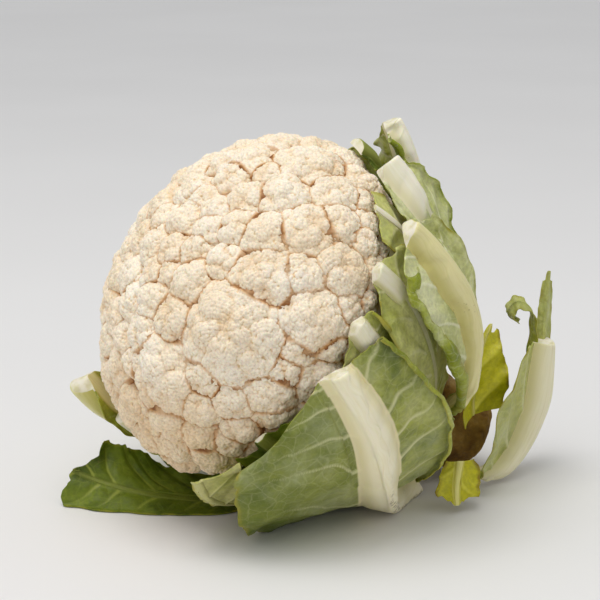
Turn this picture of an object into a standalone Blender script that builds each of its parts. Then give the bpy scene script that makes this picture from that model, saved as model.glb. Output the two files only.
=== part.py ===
"""A trimmed cauliflower lying on its side: the curd, its stem stump and the cut leaves.

Lengths in the tables are millimetres and degrees, and the mesh is in metres.
The head has its own axis, from the stump to the crown. A place on the head is given as
(height, turn, radius): height above the rim of the curd along the axis, turn around the axis
from the side that faces -Y, and radius from the axis.
"""
import math

import bmesh
import bpy
import numpy as np
from mathutils import Vector
from mathutils.bvhtree import BVHTree

MM = 0.001

# --- driving dimensions, millimetres and degrees
RIM_HEIGHT = 94.0
HEAD_TILT = 34.5
HEAD_TURN = 205.8
HEAD_ROLL = 2.7
CURD_RADIUS = 80.0
CURD_CROWN = 61.5
CURD_UNDER = ((-12.0, 75.0), (-26.0, 62.0), (-40.0, 44.0), (-52.0, 31.0), (-58.0, 25.0))
FLORET_SWELL = 0.28
FLORET_BALL = 1.25
FILL_FLORETS = (13.0, 10.0, 7.5, 5.5)
STEM = ((-58.6, 23.0), (-75.0, 22.0), (-95.0, 21.5), (-115.0, 22.5), (-130.0, 23.5), (-137.0, 21.0))
STEM_BITE = 1.6
BLADE_THICKNESS = 1.5
CLEARANCE = 1.1

# --- how finely the parts are drawn
CURD_RINGS = 20
CURD_STEPS = 72
CURD_SPREAD = 94.0
CORE_SHARE = 0.94
SPIRAL_TRIES = 900
CROWN_CROWDING = 0.8
FLORET_ROOM = (0.86, 0.5)
FLORET_VARIETY = 0.15
VARIETY_PACE = 1.7
STEM_STEPS = 28
STEM_DENTS = 3
PROBE_START = 150.0
PROBE_PARTS = (0.0, 0.33, 0.66)
EASING_ROUNDS = 3
EASING_STEP = 0.6

# radius of the shell of leaves above height, for the inner, middle and outer leaves
SHELLS = {
    "inner": ((-74.0, 25.5), (-64.0, 42.0), (-50.0, 62.0), (-34.0, 75.0), (-16.0, 82.5), (0.0, 84.5),
              (20.0, 81.0)),
    "middle": ((-92.0, 25.5), (-80.0, 45.0), (-64.0, 64.0), (-44.0, 79.0), (-22.0, 87.0), (0.0, 89.0),
               (20.0, 87.0)),
    "outer": ((-110.0, 25.5), (-97.0, 47.0), (-80.0, 63.0), (-60.0, 77.0), (-38.0, 86.0), (-16.0, 90.0),
              (4.0, 90.0), (24.0, 90.0)),
}

# the florets that shape the curd: height, turn, radius
FLORETS = (
    (37, -13, 24), (41, -53, 21), (52, -58, 12), (34, -33, 11), (26, -43, 10), (20, -31, 10),
    (15, 6, 16), (26, 18, 11), (14, -4, 9), (13, -12, 9), (12, -21, 12), (38, 11, 16),
    (54, -9, 12), (50, 11, 9), (42, 30, 12), (29, 35, 14), (18, 41, 11), (12, 25, 13),
    (28, 70, 18), (20, 54, 12), (44, 84, 13), (39, 52, 12), (51, 80, 10), (57, -45, 11),
    (54, -102, 11), (60, -40, 9), (57, 14, 8), (57, 100, 10), (56, 33, 8), (50, 33, 9),
    (52, 121, 10), (49, 53, 9), (27, -60, 12), (15, -52, 10), (14, -82, 11), (5, -46, 8),
    (8, -37, 9), (45, -114, 10), (43, -90, 10), (34, -81, 10), (8, 54, 8), (5, 38, 8),
    (3, 15, 8), (3, 2, 8), (4, -26, 9), (8, 80, 11), (6, 100, 12),
)


def unit(vector):
    return vector / np.linalg.norm(vector)


def head_axes():
    """The crown direction, and the two directions that turns 0 and 90 point along."""
    tilt = math.radians(HEAD_TILT)
    turn = math.radians(HEAD_TURN)
    roll = math.radians(HEAD_ROLL)
    crown = np.array([math.cos(tilt) * math.cos(turn), math.cos(tilt) * math.sin(turn), math.sin(tilt)])
    level = unit(np.cross(crown, (0.0, 0.0, 1.0)))
    level = level if level[1] < 0 else -level
    rise = np.cross(crown, level)
    front = level * math.cos(roll) - rise * math.sin(roll)
    return crown, front, np.cross(crown, front)


CROWN, FRONT, SIDE = head_axes()
RIM_CENTRE = np.array([0.0, 0.0, RIM_HEIGHT])


def head_point(height, turn, radius):
    """The place in millimetres of a height, a turn in degrees and a radius."""
    angle = np.radians(turn)
    height, radius = np.asarray(height, float), np.asarray(radius, float)
    around = np.multiply.outer(np.cos(angle), FRONT) + np.multiply.outer(np.sin(angle), SIDE)
    return RIM_CENTRE + np.multiply.outer(height, CROWN) + radius[..., None] * around


def smooth_rail(points, count):
    """Points at equal steps along a Catmull-Rom curve through the given ones."""
    given = np.array(points, float)
    ends = (2 * given[0] - given[1], 2 * given[-1] - given[-2])
    given = np.vstack([ends[0], given, ends[1]])
    rows = []
    for step in np.linspace(0.0, len(points) - 1.0, count):
        first = min(int(step), len(points) - 2)
        part = step - first
        a, b, c, d = given[first:first + 4]
        rows.append(0.5 * (2 * b + (c - a) * part + (2 * a - 5 * b + 4 * c - d) * part ** 2
                           + (3 * b - a - 3 * c + d) * part ** 3))
    return np.array(rows)


def new_material(name, colour, roughness):
    material = bpy.data.materials.new(name)
    material.use_nodes = True
    shader = material.node_tree.nodes["Principled BSDF"]
    shader.inputs["Base Color"].default_value = (*colour, 1.0)
    shader.inputs["Roughness"].default_value = roughness
    return material


def new_piece(name, bm, material):
    """A smooth-shaded object from a bmesh in millimetres, with its faces pointing out."""
    bmesh.ops.recalc_face_normals(bm, faces=bm.faces[:])
    bmesh.ops.scale(bm, vec=(MM, MM, MM), verts=bm.verts[:])
    mesh = bpy.data.meshes.new(name)
    bm.to_mesh(mesh)
    bm.free()
    mesh.shade_smooth()
    mesh.materials.append(material)
    piece = bpy.data.objects.new(name, mesh)
    bpy.context.scene.collection.objects.link(piece)
    return piece


# --- the curd and its stem

def dome_radius(height):
    """Radius of the smooth dome that the florets sit on."""
    return CURD_RADIUS * math.sqrt(max(0.0, 1.0 - (height / CURD_CROWN) ** 2))


class Floret:
    """A floret in head axes: its spot on the dome, its ball's centre, and its radius as seen."""

    def __init__(self, height, turn, seen):
        across = dome_radius(height)
        slope = unit(np.array([height / CURD_CROWN ** 2, across / CURD_RADIUS ** 2]))
        depth = (FLORET_BALL - FLORET_SWELL) * seen
        out = across - depth * slope[1]
        angle = math.radians(turn)
        around = np.array([math.cos(angle), math.sin(angle)])
        self.spot = np.append(across * around, height)
        self.centre = np.append(out * around, height - depth * slope[0])
        self.seen = seen
        self.ball = FLORET_BALL * seen

    def clears(self, other):
        """Whether it is far enough from another floret to be added."""
        room = FLORET_ROOM[0] * other.seen + FLORET_ROOM[1] * self.seen
        return np.linalg.norm(self.spot - other.spot) > room


def all_florets():
    """The listed florets, then smaller and smaller ones that fill the rest of the dome by a spiral."""
    florets = [Floret(*floret) for floret in FLORETS]
    spiral = math.pi * (3.0 - math.sqrt(5.0))
    for fill in FILL_FLORETS:
        for number in range(SPIRAL_TRIES):
            height = CURD_CROWN * (1.0 - (number + 0.5) / SPIRAL_TRIES) ** CROWN_CROWDING
            seen = fill * (1.0 - FLORET_VARIETY + FLORET_VARIETY * math.sin(number * VARIETY_PACE))
            floret = Floret(height, math.degrees(number * spiral) % 360.0, seen)
            if all(floret.clears(other) for other in florets):
                florets.append(floret)
    return florets


def curd_reach(direction, florets):
    """How far the curd reaches along a direction from the rim's centre, in head axes."""
    ellipse = direction / np.array([CURD_RADIUS, CURD_RADIUS, CURD_CROWN])
    reach = CORE_SHARE / np.linalg.norm(ellipse)
    for floret in florets:
        along = float(direction @ floret.centre)
        inside = floret.ball ** 2 - float(floret.centre @ floret.centre) + along ** 2
        if along > 0.0 and inside > 0.0:
            reach = max(reach, along + math.sqrt(inside))
    return reach


def build_curd(material):
    """The curd: a dome of florets that narrows to the neck of the stem underneath."""
    florets = all_florets()
    bm = bmesh.new()
    loops = []
    for ring in range(1, CURD_RINGS + 1):
        polar = math.radians(CURD_SPREAD) * ring / CURD_RINGS
        loop = []
        for step in range(CURD_STEPS):
            angle = 2.0 * math.pi * step / CURD_STEPS
            direction = np.array([math.sin(polar) * math.cos(angle), math.sin(polar) * math.sin(angle),
                                  math.cos(polar)])
            across, side, up = direction * curd_reach(direction, florets)
            loop.append((up, math.degrees(math.atan2(side, across)), math.hypot(across, side)))
        loops.append(loop)
    for height, radius in CURD_UNDER:
        loops.append([(height, 360.0 * step / CURD_STEPS, radius) for step in range(CURD_STEPS)])
    top = bm.verts.new(head_point(curd_reach(np.array([0.0, 0.0, 1.0]), florets), 0.0, 0.0))
    rows = [[bm.verts.new(head_point(*place)) for place in loop] for loop in loops]
    for step in range(CURD_STEPS):
        bm.faces.new((top, rows[0][step - 1], rows[0][step]))
    for upper, lower in zip(rows, rows[1:]):
        for step in range(CURD_STEPS):
            bm.faces.new((upper[step - 1], lower[step - 1], lower[step], upper[step]))
    bm.faces.new(rows[-1])
    return new_piece("curd", bm, material)


def build_stem(material):
    """The stump: a turned stem with shallow dents, and a nearly flat cut end."""
    bm = bmesh.new()
    rows = []
    for number, (height, radius) in enumerate(STEM):
        row = []
        for step in range(STEM_STEPS):
            turn = 360.0 * step / STEM_STEPS
            dent = STEM_BITE * 0.5 * (math.sin(math.radians(STEM_DENTS * turn) + number) - 1.0)
            place = head_point(height, turn, radius + dent)
            place[2] = max(place[2], 0.0)
            row.append(bm.verts.new(place))
        rows.append(row)
    for upper, lower in zip(rows, rows[1:]):
        for step in range(STEM_STEPS):
            bm.faces.new((upper[step - 1], lower[step - 1], lower[step], upper[step]))
    bm.faces.new(rows[0])
    bm.faces.new(rows[-1])
    return new_piece("stem_stump", bm, material)


# --- the leaves

class Leaf:
    """A cut leaf: three rails from base to tip, a left edge, the rib and a right edge.

    On a shell, a rail's points are (height, turn, lift above the shell). A free leaf, with no
    shell, has (x, y, z) points. The rib's size is its half width at the base and at the tip, then
    how far it stands out from the blade at the base and at the tip.
    """

    def __init__(self, name, colour, shell, left, rib, right, rib_size, floor=0.0):
        self.name = name
        self.colour = colour
        self.shell = shell
        self.rails = (left, rib, right)
        self.rib_size = rib_size
        self.floor = floor


ROWS = 9
# 0 is the middle of the rib, 1 its side, and 2 the edge of the blade
COLUMNS = (-2.0, -1.68, -1.34, -1.0, -0.6, 0.0, 0.6, 1.0, 1.34, 1.68, 2.0)
WIDEST_RIB = 0.5


def place_of(leaf, rail):
    """The places in millimetres of points given in a leaf's own coordinates."""
    if not leaf.shell:
        return rail
    return head_point(rail[..., 0], rail[..., 1], shell_radius(leaf.shell, rail[..., 0]) + rail[..., 2])


def rib_half_width(leaf, rows):
    return np.linspace(leaf.rib_size[0], leaf.rib_size[1], rows)


def blend_rails(leaf, rows, columns):
    """The rails' own coordinates at each row and column."""
    left, rib, right = (smooth_rail(rail, rows) for rail in leaf.rails)
    grid = np.zeros((rows, len(columns), 3))
    for number, column in enumerate(columns):
        edge = left if column < 0 else right
        reach = np.linalg.norm(place_of(leaf, edge) - place_of(leaf, rib), axis=1)
        share = np.minimum(rib_half_width(leaf, rows) / reach, WIDEST_RIB)
        step = abs(column)
        part = share * step if step <= 1.0 else share + (step - 1.0) * (1.0 - share)
        grid[:, number] = rib + part[:, None] * (edge - rib)
    return grid


def shell_radius(shell, height):
    heights, radii = zip(*SHELLS[shell])
    return np.interp(height, heights, radii)


def outermost(tree, height, turn, far=PROBE_START):
    """Radius of the outermost built surface at a height and turn, or 0 if there is none."""
    start = Vector(head_point(height, turn, far))
    inward = Vector(head_point(height, turn, 0.0)) - start
    hit = tree.ray_cast(start, inward.normalized(), far)
    return far - hit[3] if hit[0] is not None else 0.0


def lift_clear(tree, grid, shell):
    """The grid's radii, pushed out where something already built is in the way, and eased."""
    rows, columns = grid.shape[:2]
    radius = shell_radius(shell, grid[..., 0]) + grid[..., 2]
    need = np.zeros((rows, columns))
    for row in range(rows):
        for column in range(columns):
            for side_row in (max(row - 1, 0), row, min(row + 1, rows - 1)):
                for side_column in (max(column - 1, 0), column, min(column + 1, columns - 1)):
                    for part in PROBE_PARTS:
                        spot = grid[row, column] * (1 - part) + grid[side_row, side_column] * part
                        need[row, column] = max(need[row, column], outermost(tree, spot[0], spot[1]))
    need = np.where(need > 0.0, need + CLEARANCE, 0.0)
    radius = np.maximum(radius, need)
    for _ in range(EASING_ROUNDS):
        padded = np.pad(radius, 1, mode="edge")
        eased = 0.5 * radius + 0.125 * (padded[:-2, 1:-1] + padded[2:, 1:-1] + padded[1:-1, :-2]
                                        + padded[1:-1, 2:])
        radius = np.maximum(np.maximum(radius - EASING_STEP, eased), need)
    return radius


def surface_normals(points):
    """Unit normals of a grid of points, pointing away from the head's axis side."""
    along = np.gradient(points, axis=0)
    across = np.gradient(points, axis=1)
    normals = np.cross(across, along)
    return normals / np.linalg.norm(normals, axis=2, keepdims=True)


def build_leaf(leaf, tree):
    """A closed solid: an inner face on the rails and an outer face swollen along the rib."""
    grid = blend_rails(leaf, ROWS, COLUMNS)
    if leaf.shell:
        radius = lift_clear(tree, grid, leaf.shell)
        inner = head_point(grid[..., 0], grid[..., 1], radius)
    else:
        inner = grid
    normals = surface_normals(inner)
    outward = inner - (RIM_CENTRE + ((inner - RIM_CENTRE) @ CROWN)[..., None] * CROWN)
    if float(np.sum(normals * outward)) < 0.0:
        normals = -normals
    thickness = np.full(inner.shape[:2], BLADE_THICKNESS)
    depth = np.linspace(leaf.rib_size[2], leaf.rib_size[3], ROWS)
    for number, column in enumerate(COLUMNS):
        if abs(column) < 1.0:
            thickness[:, number] += depth * math.sqrt(1.0 - column ** 2)
    outer = inner + normals * thickness[..., None]
    floor = leaf.floor
    outer[..., 2] = np.maximum(outer[..., 2], floor)
    inner[..., 2] = np.maximum(inner[..., 2], floor + BLADE_THICKNESS)
    bm = bmesh.new()
    sheets = [[[bm.verts.new(place) for place in row] for row in sheet] for sheet in (inner, outer)]
    last_row, last_column = ROWS - 1, len(COLUMNS) - 1
    for sheet in sheets:
        for row in range(last_row):
            for column in range(last_column):
                bm.faces.new((sheet[row][column], sheet[row][column + 1], sheet[row + 1][column + 1],
                              sheet[row + 1][column]))
    rim = [(0, column) for column in range(last_column)]
    rim += [(row, last_column) for row in range(last_row)]
    rim += [(last_row, column) for column in range(last_column, 0, -1)]
    rim += [(row, 0) for row in range(last_row, 0, -1)]
    for here, there in zip(rim, rim[1:] + rim[:1]):
        bm.faces.new((sheets[0][here[0]][here[1]], sheets[0][there[0]][there[1]],
                      sheets[1][there[0]][there[1]], sheets[1][here[0]][here[1]]))
    return new_piece(leaf.name, bm, new_material(leaf.name, leaf.colour, 0.55))


PALE_GREEN = (0.55, 0.66, 0.40)
BLUE_GREEN = (0.30, 0.42, 0.24)
DEEP_GREEN = (0.10, 0.20, 0.05)
YELLOW_GREEN = (0.52, 0.58, 0.16)

# from the innermost leaf to the outermost: each one is laid over those before it
LEAVES = (
    Leaf("leaf_collar_right", YELLOW_GREEN, "inner",
         ((-70, 32, 0), (-45, 34, 0), (-20, 37, 0), (2, 38, 1)),
         ((-72, 45, 0), (-45, 46, 0), (-20, 48, 0), (7, 48, 2)),
         ((-70, 58, 0), (-45, 58, 0), (-20, 58, 0), (9, 57, 1)), (2, 1.5, 1, 0.8)),
    Leaf("leaf_collar_top", DEEP_GREEN, "inner",
         ((-70, 68, 0), (-45, 68, 0), (-18, 68, 0), (5, 69, 1)),
         ((-72, 80, 0), (-45, 80, 0), (-15, 79, 0), (10, 78, 3)),
         ((-70, 94, 0), (-45, 93, 0), (-15, 90, 1), (12, 86, 4)), (3, 5, 2, 4)),
    Leaf("leaf_inner_front", PALE_GREEN, "inner",
         ((-68, -22, 0), (-48, -16, 0), (-24, -8, 0), (-4, -2, 0)),
         ((-72, -6, 0), (-46, 0, 0), (-22, 7, 0), (2, 11, 1)),
         ((-70, 14, 0), (-52, 14, 1), (-26, 16, 2), (-3, 17, 2)), (6, 5.5, 4, 6)),
    Leaf("leaf_inner_right", PALE_GREEN, "middle",
         ((-86, -14, 0), (-68, -6, 0), (-46, 2, -2), (-24, 10, -4), (-3, 20, -5)),
         ((-90, 4, 0), (-68, 12, 0), (-46, 19, -1), (-22, 26, -3), (2, 28, -4)),
         ((-86, 24, 0), (-68, 32, 0), (-46, 42, -2), (-24, 46, -4), (-3, 38, -5)), (3, 5, 1.5, 5)),
    Leaf("leaf_collar_front", DEEP_GREEN, "inner",
         ((-68, -62, -2), (-46, -56, -2), (-22, -50, -1), (2, -47, 0)),
         ((-72, -46, -2), (-46, -42, -2), (-22, -36, -1), (3, -33, 0)),
         ((-70, -30, 0), (-48, -26, 0), (-24, -20, 0), (1, -18, 0)), (5, 3, 3, 2), floor=4.5),
    Leaf("leaf_collar_left", PALE_GREEN, "inner",
         ((-66, -122, -4), (-44, -122, -3), (-18, -122, 0), (12, -124, 0)),
         ((-68, -108, -6), (-44, -108, -4), (-16, -108, 0), (16, -110, 0)),
         ((-66, -94, -6), (-44, -94, -4), (-16, -96, -1), (8, -99, 0)), (5, 4, 3, 3), floor=5),
    Leaf("leaf_collar_back", PALE_GREEN, "inner",
         ((-68, 148, 0), (-46, 146, 0), (-22, 144, 0), (-2, 144, 1)),
         ((-72, 166, 0), (-46, 166, 0), (-22, 166, 0), (4, 166, 1)),
         ((-70, 184, 0), (-46, 186, 0), (-22, 188, 0), (-2, 188, 1)), (7, 5, 4, 4)),
    Leaf("leaf_collar_low", PALE_GREEN, "inner",
         ((-68, 202, -1), (-46, 200, -1), (-22, 198, 0), (0, 197, 1)),
         ((-70, 216, -3), (-46, 216, -2), (-22, 215, 0), (4, 214, 1)),
         ((-68, 230, -4), (-46, 231, -3), (-22, 230, 0), (2, 228, 1)), (7, 5, 4, 4), floor=5),
    Leaf("leaf_front_small", YELLOW_GREEN, "middle",
         ((-78, -84, -4), (-56, -80, -4), (-34, -76, 0), (-14, -67, 5), (2, -58, 10), (14, -53, 10)),
         ((-80, -78, -4), (-56, -74, -4), (-34, -70, 0), (-14, -62, 5), (2, -55, 11), (13, -50, 11)),
         ((-78, -62, -3), (-56, -60, -3), (-34, -56, 0), (-16, -50, 2), (-2, -43, 3), (7, -38, 3)),
         (1.5, 1.2, 0.8, 0.6), floor=3),
    Leaf("leaf_top", PALE_GREEN, "outer",
         ((-104, 70, 0), (-86, 72, -6), (-60, 74, -8), (-36, 76, -6), (-16, 76, 1), (0, 79, 9)),
         ((-108, 86, 0), (-88, 86, -6), (-62, 86, -8), (-36, 85, -6), (-16, 86, 4), (-3, 88, 14)),
         ((-104, 102, 0), (-86, 103, -6), (-62, 104, -8), (-38, 104, -6), (-22, 102, 1), (-12, 97, 8)),
         (9, 5, 8, 8)),
    Leaf("leaf_upper", PALE_GREEN, "middle",
         ((-88, 38, 0), (-72, 40, 0), (-50, 42, 0), (-26, 45, 0), (-3, 51, 0)),
         ((-90, 49, 0), (-72, 50, 0), (-50, 51, 0), (-28, 54, 1), (8, 61, 1)),
         ((-88, 60, 0), (-74, 63, 0), (-58, 67, 4), (-44, 71, 8), (-30, 75, 9), (-14, 74, 8), (-2, 71, 5)),
         (3, 8.5, 1.5, 8)),
    Leaf("leaf_left_rib", YELLOW_GREEN, "middle",
         ((-82, -137, -5), (-58, -136, -4), (-30, -134, -2), (2, -131, -3), (26, -130, -7)),
         ((-84, -124, -6), (-58, -124, -5), (-30, -123, -2), (2, -120, -4), (36, -119, -10)),
         ((-82, -111, -7), (-58, -111, -5), (-30, -111, -2), (2, -109, -3), (28, -111, -7)),
         (8, 7.5, 7, 10), floor=3),
    Leaf("leaf_back_upper", BLUE_GREEN, "middle",
         ((-88, 104, 0), (-70, 102, 0), (-48, 101, 0), (-24, 102, 0), (-10, 106, 0)),
         ((-90, 122, 0), (-70, 124, 0), (-48, 125, 0), (-24, 126, 0), (-6, 127, 0)),
         ((-88, 142, 0), (-70, 145, 0), (-48, 148, 0), (-24, 149, 0), (-12, 148, 0)), (9, 6, 6, 6)),
    Leaf("leaf_side_rib", BLUE_GREEN, "outer",
         ((-96, 2, -22), (-88, 6, -6), (-78, 9, 1), (-62, 12, 3), (-46, 15, 5), (-30, 17, 7), (-14, 21, 6),
          (-5, 27, 5)),
         ((-98, 10, -22), (-90, 13, -6), (-80, 18, 1), (-67, 30, 3), (-50, 38, 3), (-28, 43, 1),
          (-6, 46, -1)),
         ((-96, 20, -22), (-90, 24, -6), (-82, 29, 1), (-71, 41, 2), (-52, 48, 1), (-34, 52, -2),
          (-16, 53, -1)), (4.5, 7.5, 4, 8)),
    Leaf("leaf_back_low", BLUE_GREEN, "outer",
         ((-104, 206, -4), (-86, 204, -3), (-62, 203, -1), (-36, 203, 0), (-8, 205, 4)),
         ((-108, 224, -6), (-88, 226, -6), (-62, 228, -4), (-34, 228, 0), (0, 226, 6)),
         ((-104, 244, -8), (-88, 248, -8), (-64, 250, -5), (-38, 250, 0), (-12, 246, 8)), (9, 6, 6, 7)),
    Leaf("leaf_back_middle", BLUE_GREEN, "outer",
         ((-104, 146, 0), (-86, 146, 0), (-62, 147, 0), (-36, 149, 0), (-12, 152, 3)),
         ((-108, 168, 0), (-88, 170, 0), (-62, 172, 0), (-34, 172, 1), (-2, 172, 4)),
         ((-104, 190, 0), (-86, 194, 0), (-62, 196, 0), (-36, 196, 0), (-14, 192, 3)), (9, 6, 6, 7)),
    Leaf("leaf_floor_left", DEEP_GREEN, "outer",
         ((-96, -84, -8), (-76, -82, -5), (-54, -81, 1), (-34, -80, 6), (-10, -88, 19), (6, -95, 32),
          (23, -103, 46)),
         ((-98, -94, -8), (-76, -94, -7), (-54, -94, -3), (-34, -92, 3), (-10, -96, 13), (6, -101, 20),
          (21, -105, 27)),
         ((-96, -104, -8), (-76, -106, -9), (-54, -108, -6), (-34, -108, 0), (-10, -111, 4), (5, -111, 1),
          (17, -108, -2)), (3, 0.8, 1.5, 0.3)),
    Leaf("leaf_front_rib", BLUE_GREEN, "outer",
         ((-104, -74, -5), (-84, -70, -2), (-62, -73, -2), (-45, -66, 6), (-31, -62, 15), (-14, -55, 15),
          (0, -46, 14), (4, -41, 5)),
         ((-108, -60, -4), (-84, -52, 5), (-60, -35, 3), (-34, -20, 2), (-13, -12, 1), (3, -7, -2)),
         ((-104, -44, 0), (-98, -30, 3), (-91, -14, 5), (-77, 0, 5), (-50, 8, 5), (-9, 12, 3)),
         (9.5, 6.5, 10, 7)),
    Leaf("leaf_old_yellow", YELLOW_GREEN, None,
         ((97, 1, 34), (96, 2, 48), (98, 9, 64), (106, 20, 79)),
         ((101, 12, 38), (101, 13, 51), (104, 17, 66), (110, 22, 80)),
         ((119, 20, 40), (120, 19, 55), (118, 21, 68), (113, 24, 79)), (1.2, 0.6, 0.8, 0.4)),
    Leaf("leaf_outer_right", PALE_GREEN, None,
         ((100, 8, 9), (105, 2, 11), (108, -1, 24), (114, 0, 46), (128, 8, 76)),
         ((108, 18, 11), (116, 27, 11), (125, 38, 19), (132, 38, 40), (132, 34, 67)),
         ((113, 28, 9), (124, 46, 11), (134, 60, 22), (141, 62, 44), (141, 54, 70)), (9, 10.5, 8, 10)),
    Leaf("leaf_torn_base", YELLOW_GREEN, None,
         ((85, -10, 22), (80, -18, 13), (81, -22, 4)),
         ((94, -8, 21), (92, -16, 12), (92, -20, 4)),
         ((103, -3, 21), (105, -10, 12), (104, -13, 4)), (2, 1, 1, 0.5)),
)


def settle(pieces):
    """Move all pieces so that the middle of the bottom of their box is the origin."""
    corners = np.array([piece.matrix_world @ vertex.co for piece in pieces for vertex in piece.data.vertices])
    low, high = corners.min(axis=0), corners.max(axis=0)
    shift = Vector((-(low[0] + high[0]) / 2.0, -(low[1] + high[1]) / 2.0, -low[2]))
    for piece in pieces:
        for vertex in piece.data.vertices:
            vertex.co += shift


def tree_of(pieces):
    """A search tree, in millimetres, of all the pieces' faces."""
    corners, faces = [], []
    for piece in pieces:
        first = len(corners)
        corners += [vertex.co / MM for vertex in piece.data.vertices]
        faces += [[first + corner for corner in face.vertices] for face in piece.data.polygons]
    return BVHTree.FromPolygons(corners, faces)


def main():
    for old in list(bpy.data.objects):
        bpy.data.objects.remove(old, do_unlink=True)
    pieces = [build_curd(new_material("curd", (0.88, 0.80, 0.66), 0.7)),
              build_stem(new_material("stem", (0.40, 0.26, 0.13), 0.8))]
    for leaf in LEAVES:
        pieces.append(build_leaf(leaf, tree_of(pieces)))
    settle(pieces)


main()
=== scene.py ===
"""A trimmed cauliflower lying on a pale floor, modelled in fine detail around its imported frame.

Lengths in the classes are millimetres and degrees, and meshes are in metres. A place on the
head is (height, turn, radius): height above the rim of the curd along the head's axis, turn
around that axis from the side that faces -Y, and radius from the axis.
"""
import logging
import math
from collections.abc import Callable
from dataclasses import dataclass
from enum import Enum

import bpy
import numpy as np
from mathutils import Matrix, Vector
from mathutils.bvhtree import BVHTree


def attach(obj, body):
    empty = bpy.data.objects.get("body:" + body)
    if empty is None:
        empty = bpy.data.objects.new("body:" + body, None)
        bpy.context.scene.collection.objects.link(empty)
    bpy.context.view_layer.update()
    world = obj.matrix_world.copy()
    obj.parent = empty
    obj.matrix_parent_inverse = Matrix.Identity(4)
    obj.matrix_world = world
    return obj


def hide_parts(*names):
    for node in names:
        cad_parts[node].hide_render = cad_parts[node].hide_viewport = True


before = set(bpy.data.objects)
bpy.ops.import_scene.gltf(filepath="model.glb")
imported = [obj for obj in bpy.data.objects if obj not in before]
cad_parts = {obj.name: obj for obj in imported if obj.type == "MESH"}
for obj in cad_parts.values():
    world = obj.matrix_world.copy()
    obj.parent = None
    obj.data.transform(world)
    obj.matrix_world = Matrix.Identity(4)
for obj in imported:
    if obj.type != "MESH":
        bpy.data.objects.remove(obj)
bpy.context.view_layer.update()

LOG = logging.getLogger("cauliflower")
MM = 0.001
BODY = "root"
Colour = tuple[float, float, float]
Rail = tuple[tuple[float, float, float], ...]
Profile = tuple[tuple[float, float], ...]

TINY = 1e-9
GOLDEN_SHARE = 3.0 - math.sqrt(5.0)     # a spiral's golden turn, in half turns
ANY_TURN = 6.28                         # the most that a random phase can be, in radians
FLORET_SEED = 400
STUMP_SEED = 77
CORE_SHARE = 0.95                       # the smooth core's size against the dome
SPIRAL_TRIES = 900
CROWN_CROWDING = 0.8                    # below 1, tries crowd toward the rim
FLORET_VARIETY = 0.15
VARIETY_PACE = 1.7
FLORET_ROOM = (0.86, 0.5)               # share of a neighbour's and of its own radius kept free
SEARCH_STEP = 3000                      # places looked up at a time
PROBE_START = 150.0                     # radius from which rays are sent inward
PROBE_PARTS = (0.0, 0.33, 0.66)         # where they are sent between two control points
EASING_ROUNDS = 3
EASING_STEP = 0.6
FREE_ORIGIN = (0.0, 0.0, 94.0)          # from a free leaf's origin up to the middle of the rim


# ---------------------------------------------------------------- helpers for meshes

def unit(vectors: np.ndarray) -> np.ndarray:
    """Vectors scaled to length 1, along their last axis."""
    return vectors / np.maximum(np.linalg.norm(vectors, axis=-1, keepdims=True), TINY)


def smoothstep(low: float, high: float, values: np.ndarray) -> np.ndarray:
    """A smooth rise from 0 at low to 1 at high."""
    part = np.clip((values - low) / (high - low), 0.0, 1.0)
    return part * part * (3.0 - 2.0 * part)


def deselect() -> None:
    """Leave nothing selected."""
    for thing in bpy.context.selected_objects:
        thing.select_set(False)


def read_points(piece: bpy.types.Object) -> np.ndarray:
    """A mesh's vertices, in millimetres.

    Args:
        piece: the mesh's object.

    Returns:
        One row of x, y and z for each vertex.
    """
    flat = np.empty(len(piece.data.vertices) * 3, np.float32)
    piece.data.vertices.foreach_get("co", flat)
    return flat.reshape(-1, 3).astype(float) / MM


def write_points(piece: bpy.types.Object, points: np.ndarray) -> None:
    """Move a mesh's vertices to the given places, in millimetres."""
    piece.data.vertices.foreach_set("co", (points * MM).astype(np.float32).ravel())
    piece.data.update()


def read_normals(piece: bpy.types.Object) -> np.ndarray:
    """A mesh's vertex normals.

    Args:
        piece: the mesh's object.

    Returns:
        One unit normal for each vertex.
    """
    flat = np.empty(len(piece.data.vertices) * 3, np.float32)
    piece.data.vertex_normals.foreach_get("vector", flat)
    return flat.reshape(-1, 3).astype(float)


def write_mask(piece: bpy.types.Object, name: str, values: np.ndarray) -> None:
    """Store a value per vertex that the materials read."""
    mask = piece.data.attributes.get(name) or piece.data.attributes.new(name, "FLOAT", "POINT")
    mask.data.foreach_set("value", np.clip(values, 0.0, 1.0).astype(np.float32).ravel())


def name_piece(piece: bpy.types.Object, name: str, material: bpy.types.Material) -> bpy.types.Object:
    """Give a new piece its name and its only material, and shade it smooth.

    Args:
        piece: the new piece.
        name: its name.
        material: its material.

    Returns:
        The same piece.
    """
    piece.name = piece.data.name = name
    piece.data.materials.clear()
    piece.data.materials.append(material)
    piece.data.shade_smooth()
    return piece


def settle_piece(piece: bpy.types.Object, slot: str, *nodes: str) -> None:
    """Let a piece ride with the head, and stand for CAD nodes.

    Args:
        piece: the finished piece.
        slot: the record's material slot; not used.
        nodes: the CAD nodes that it replaces, if any.
    """
    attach(piece, BODY)
    if nodes:
        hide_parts(*nodes)


def join_pieces(pieces: list[bpy.types.Object]) -> bpy.types.Object:
    """Join several objects into the first of them.

    Args:
        pieces: the objects, at least one.

    Returns:
        The first object, which now holds them all.
    """
    deselect()
    for piece in pieces:
        piece.select_set(True)
    bpy.context.view_layer.objects.active = pieces[0]
    if len(pieces) > 1:
        bpy.ops.object.join()
    return pieces[0]


def edit_all(operator: Callable, **settings: object) -> None:
    """Run an edit-mode operator on all of the active mesh.

    Args:
        operator: the operator to run.
        settings: its settings.
    """
    bpy.ops.object.mode_set(mode="EDIT")
    bpy.ops.mesh.select_all(action="SELECT")
    operator(**settings)
    bpy.ops.object.mode_set(mode="OBJECT")


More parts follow.
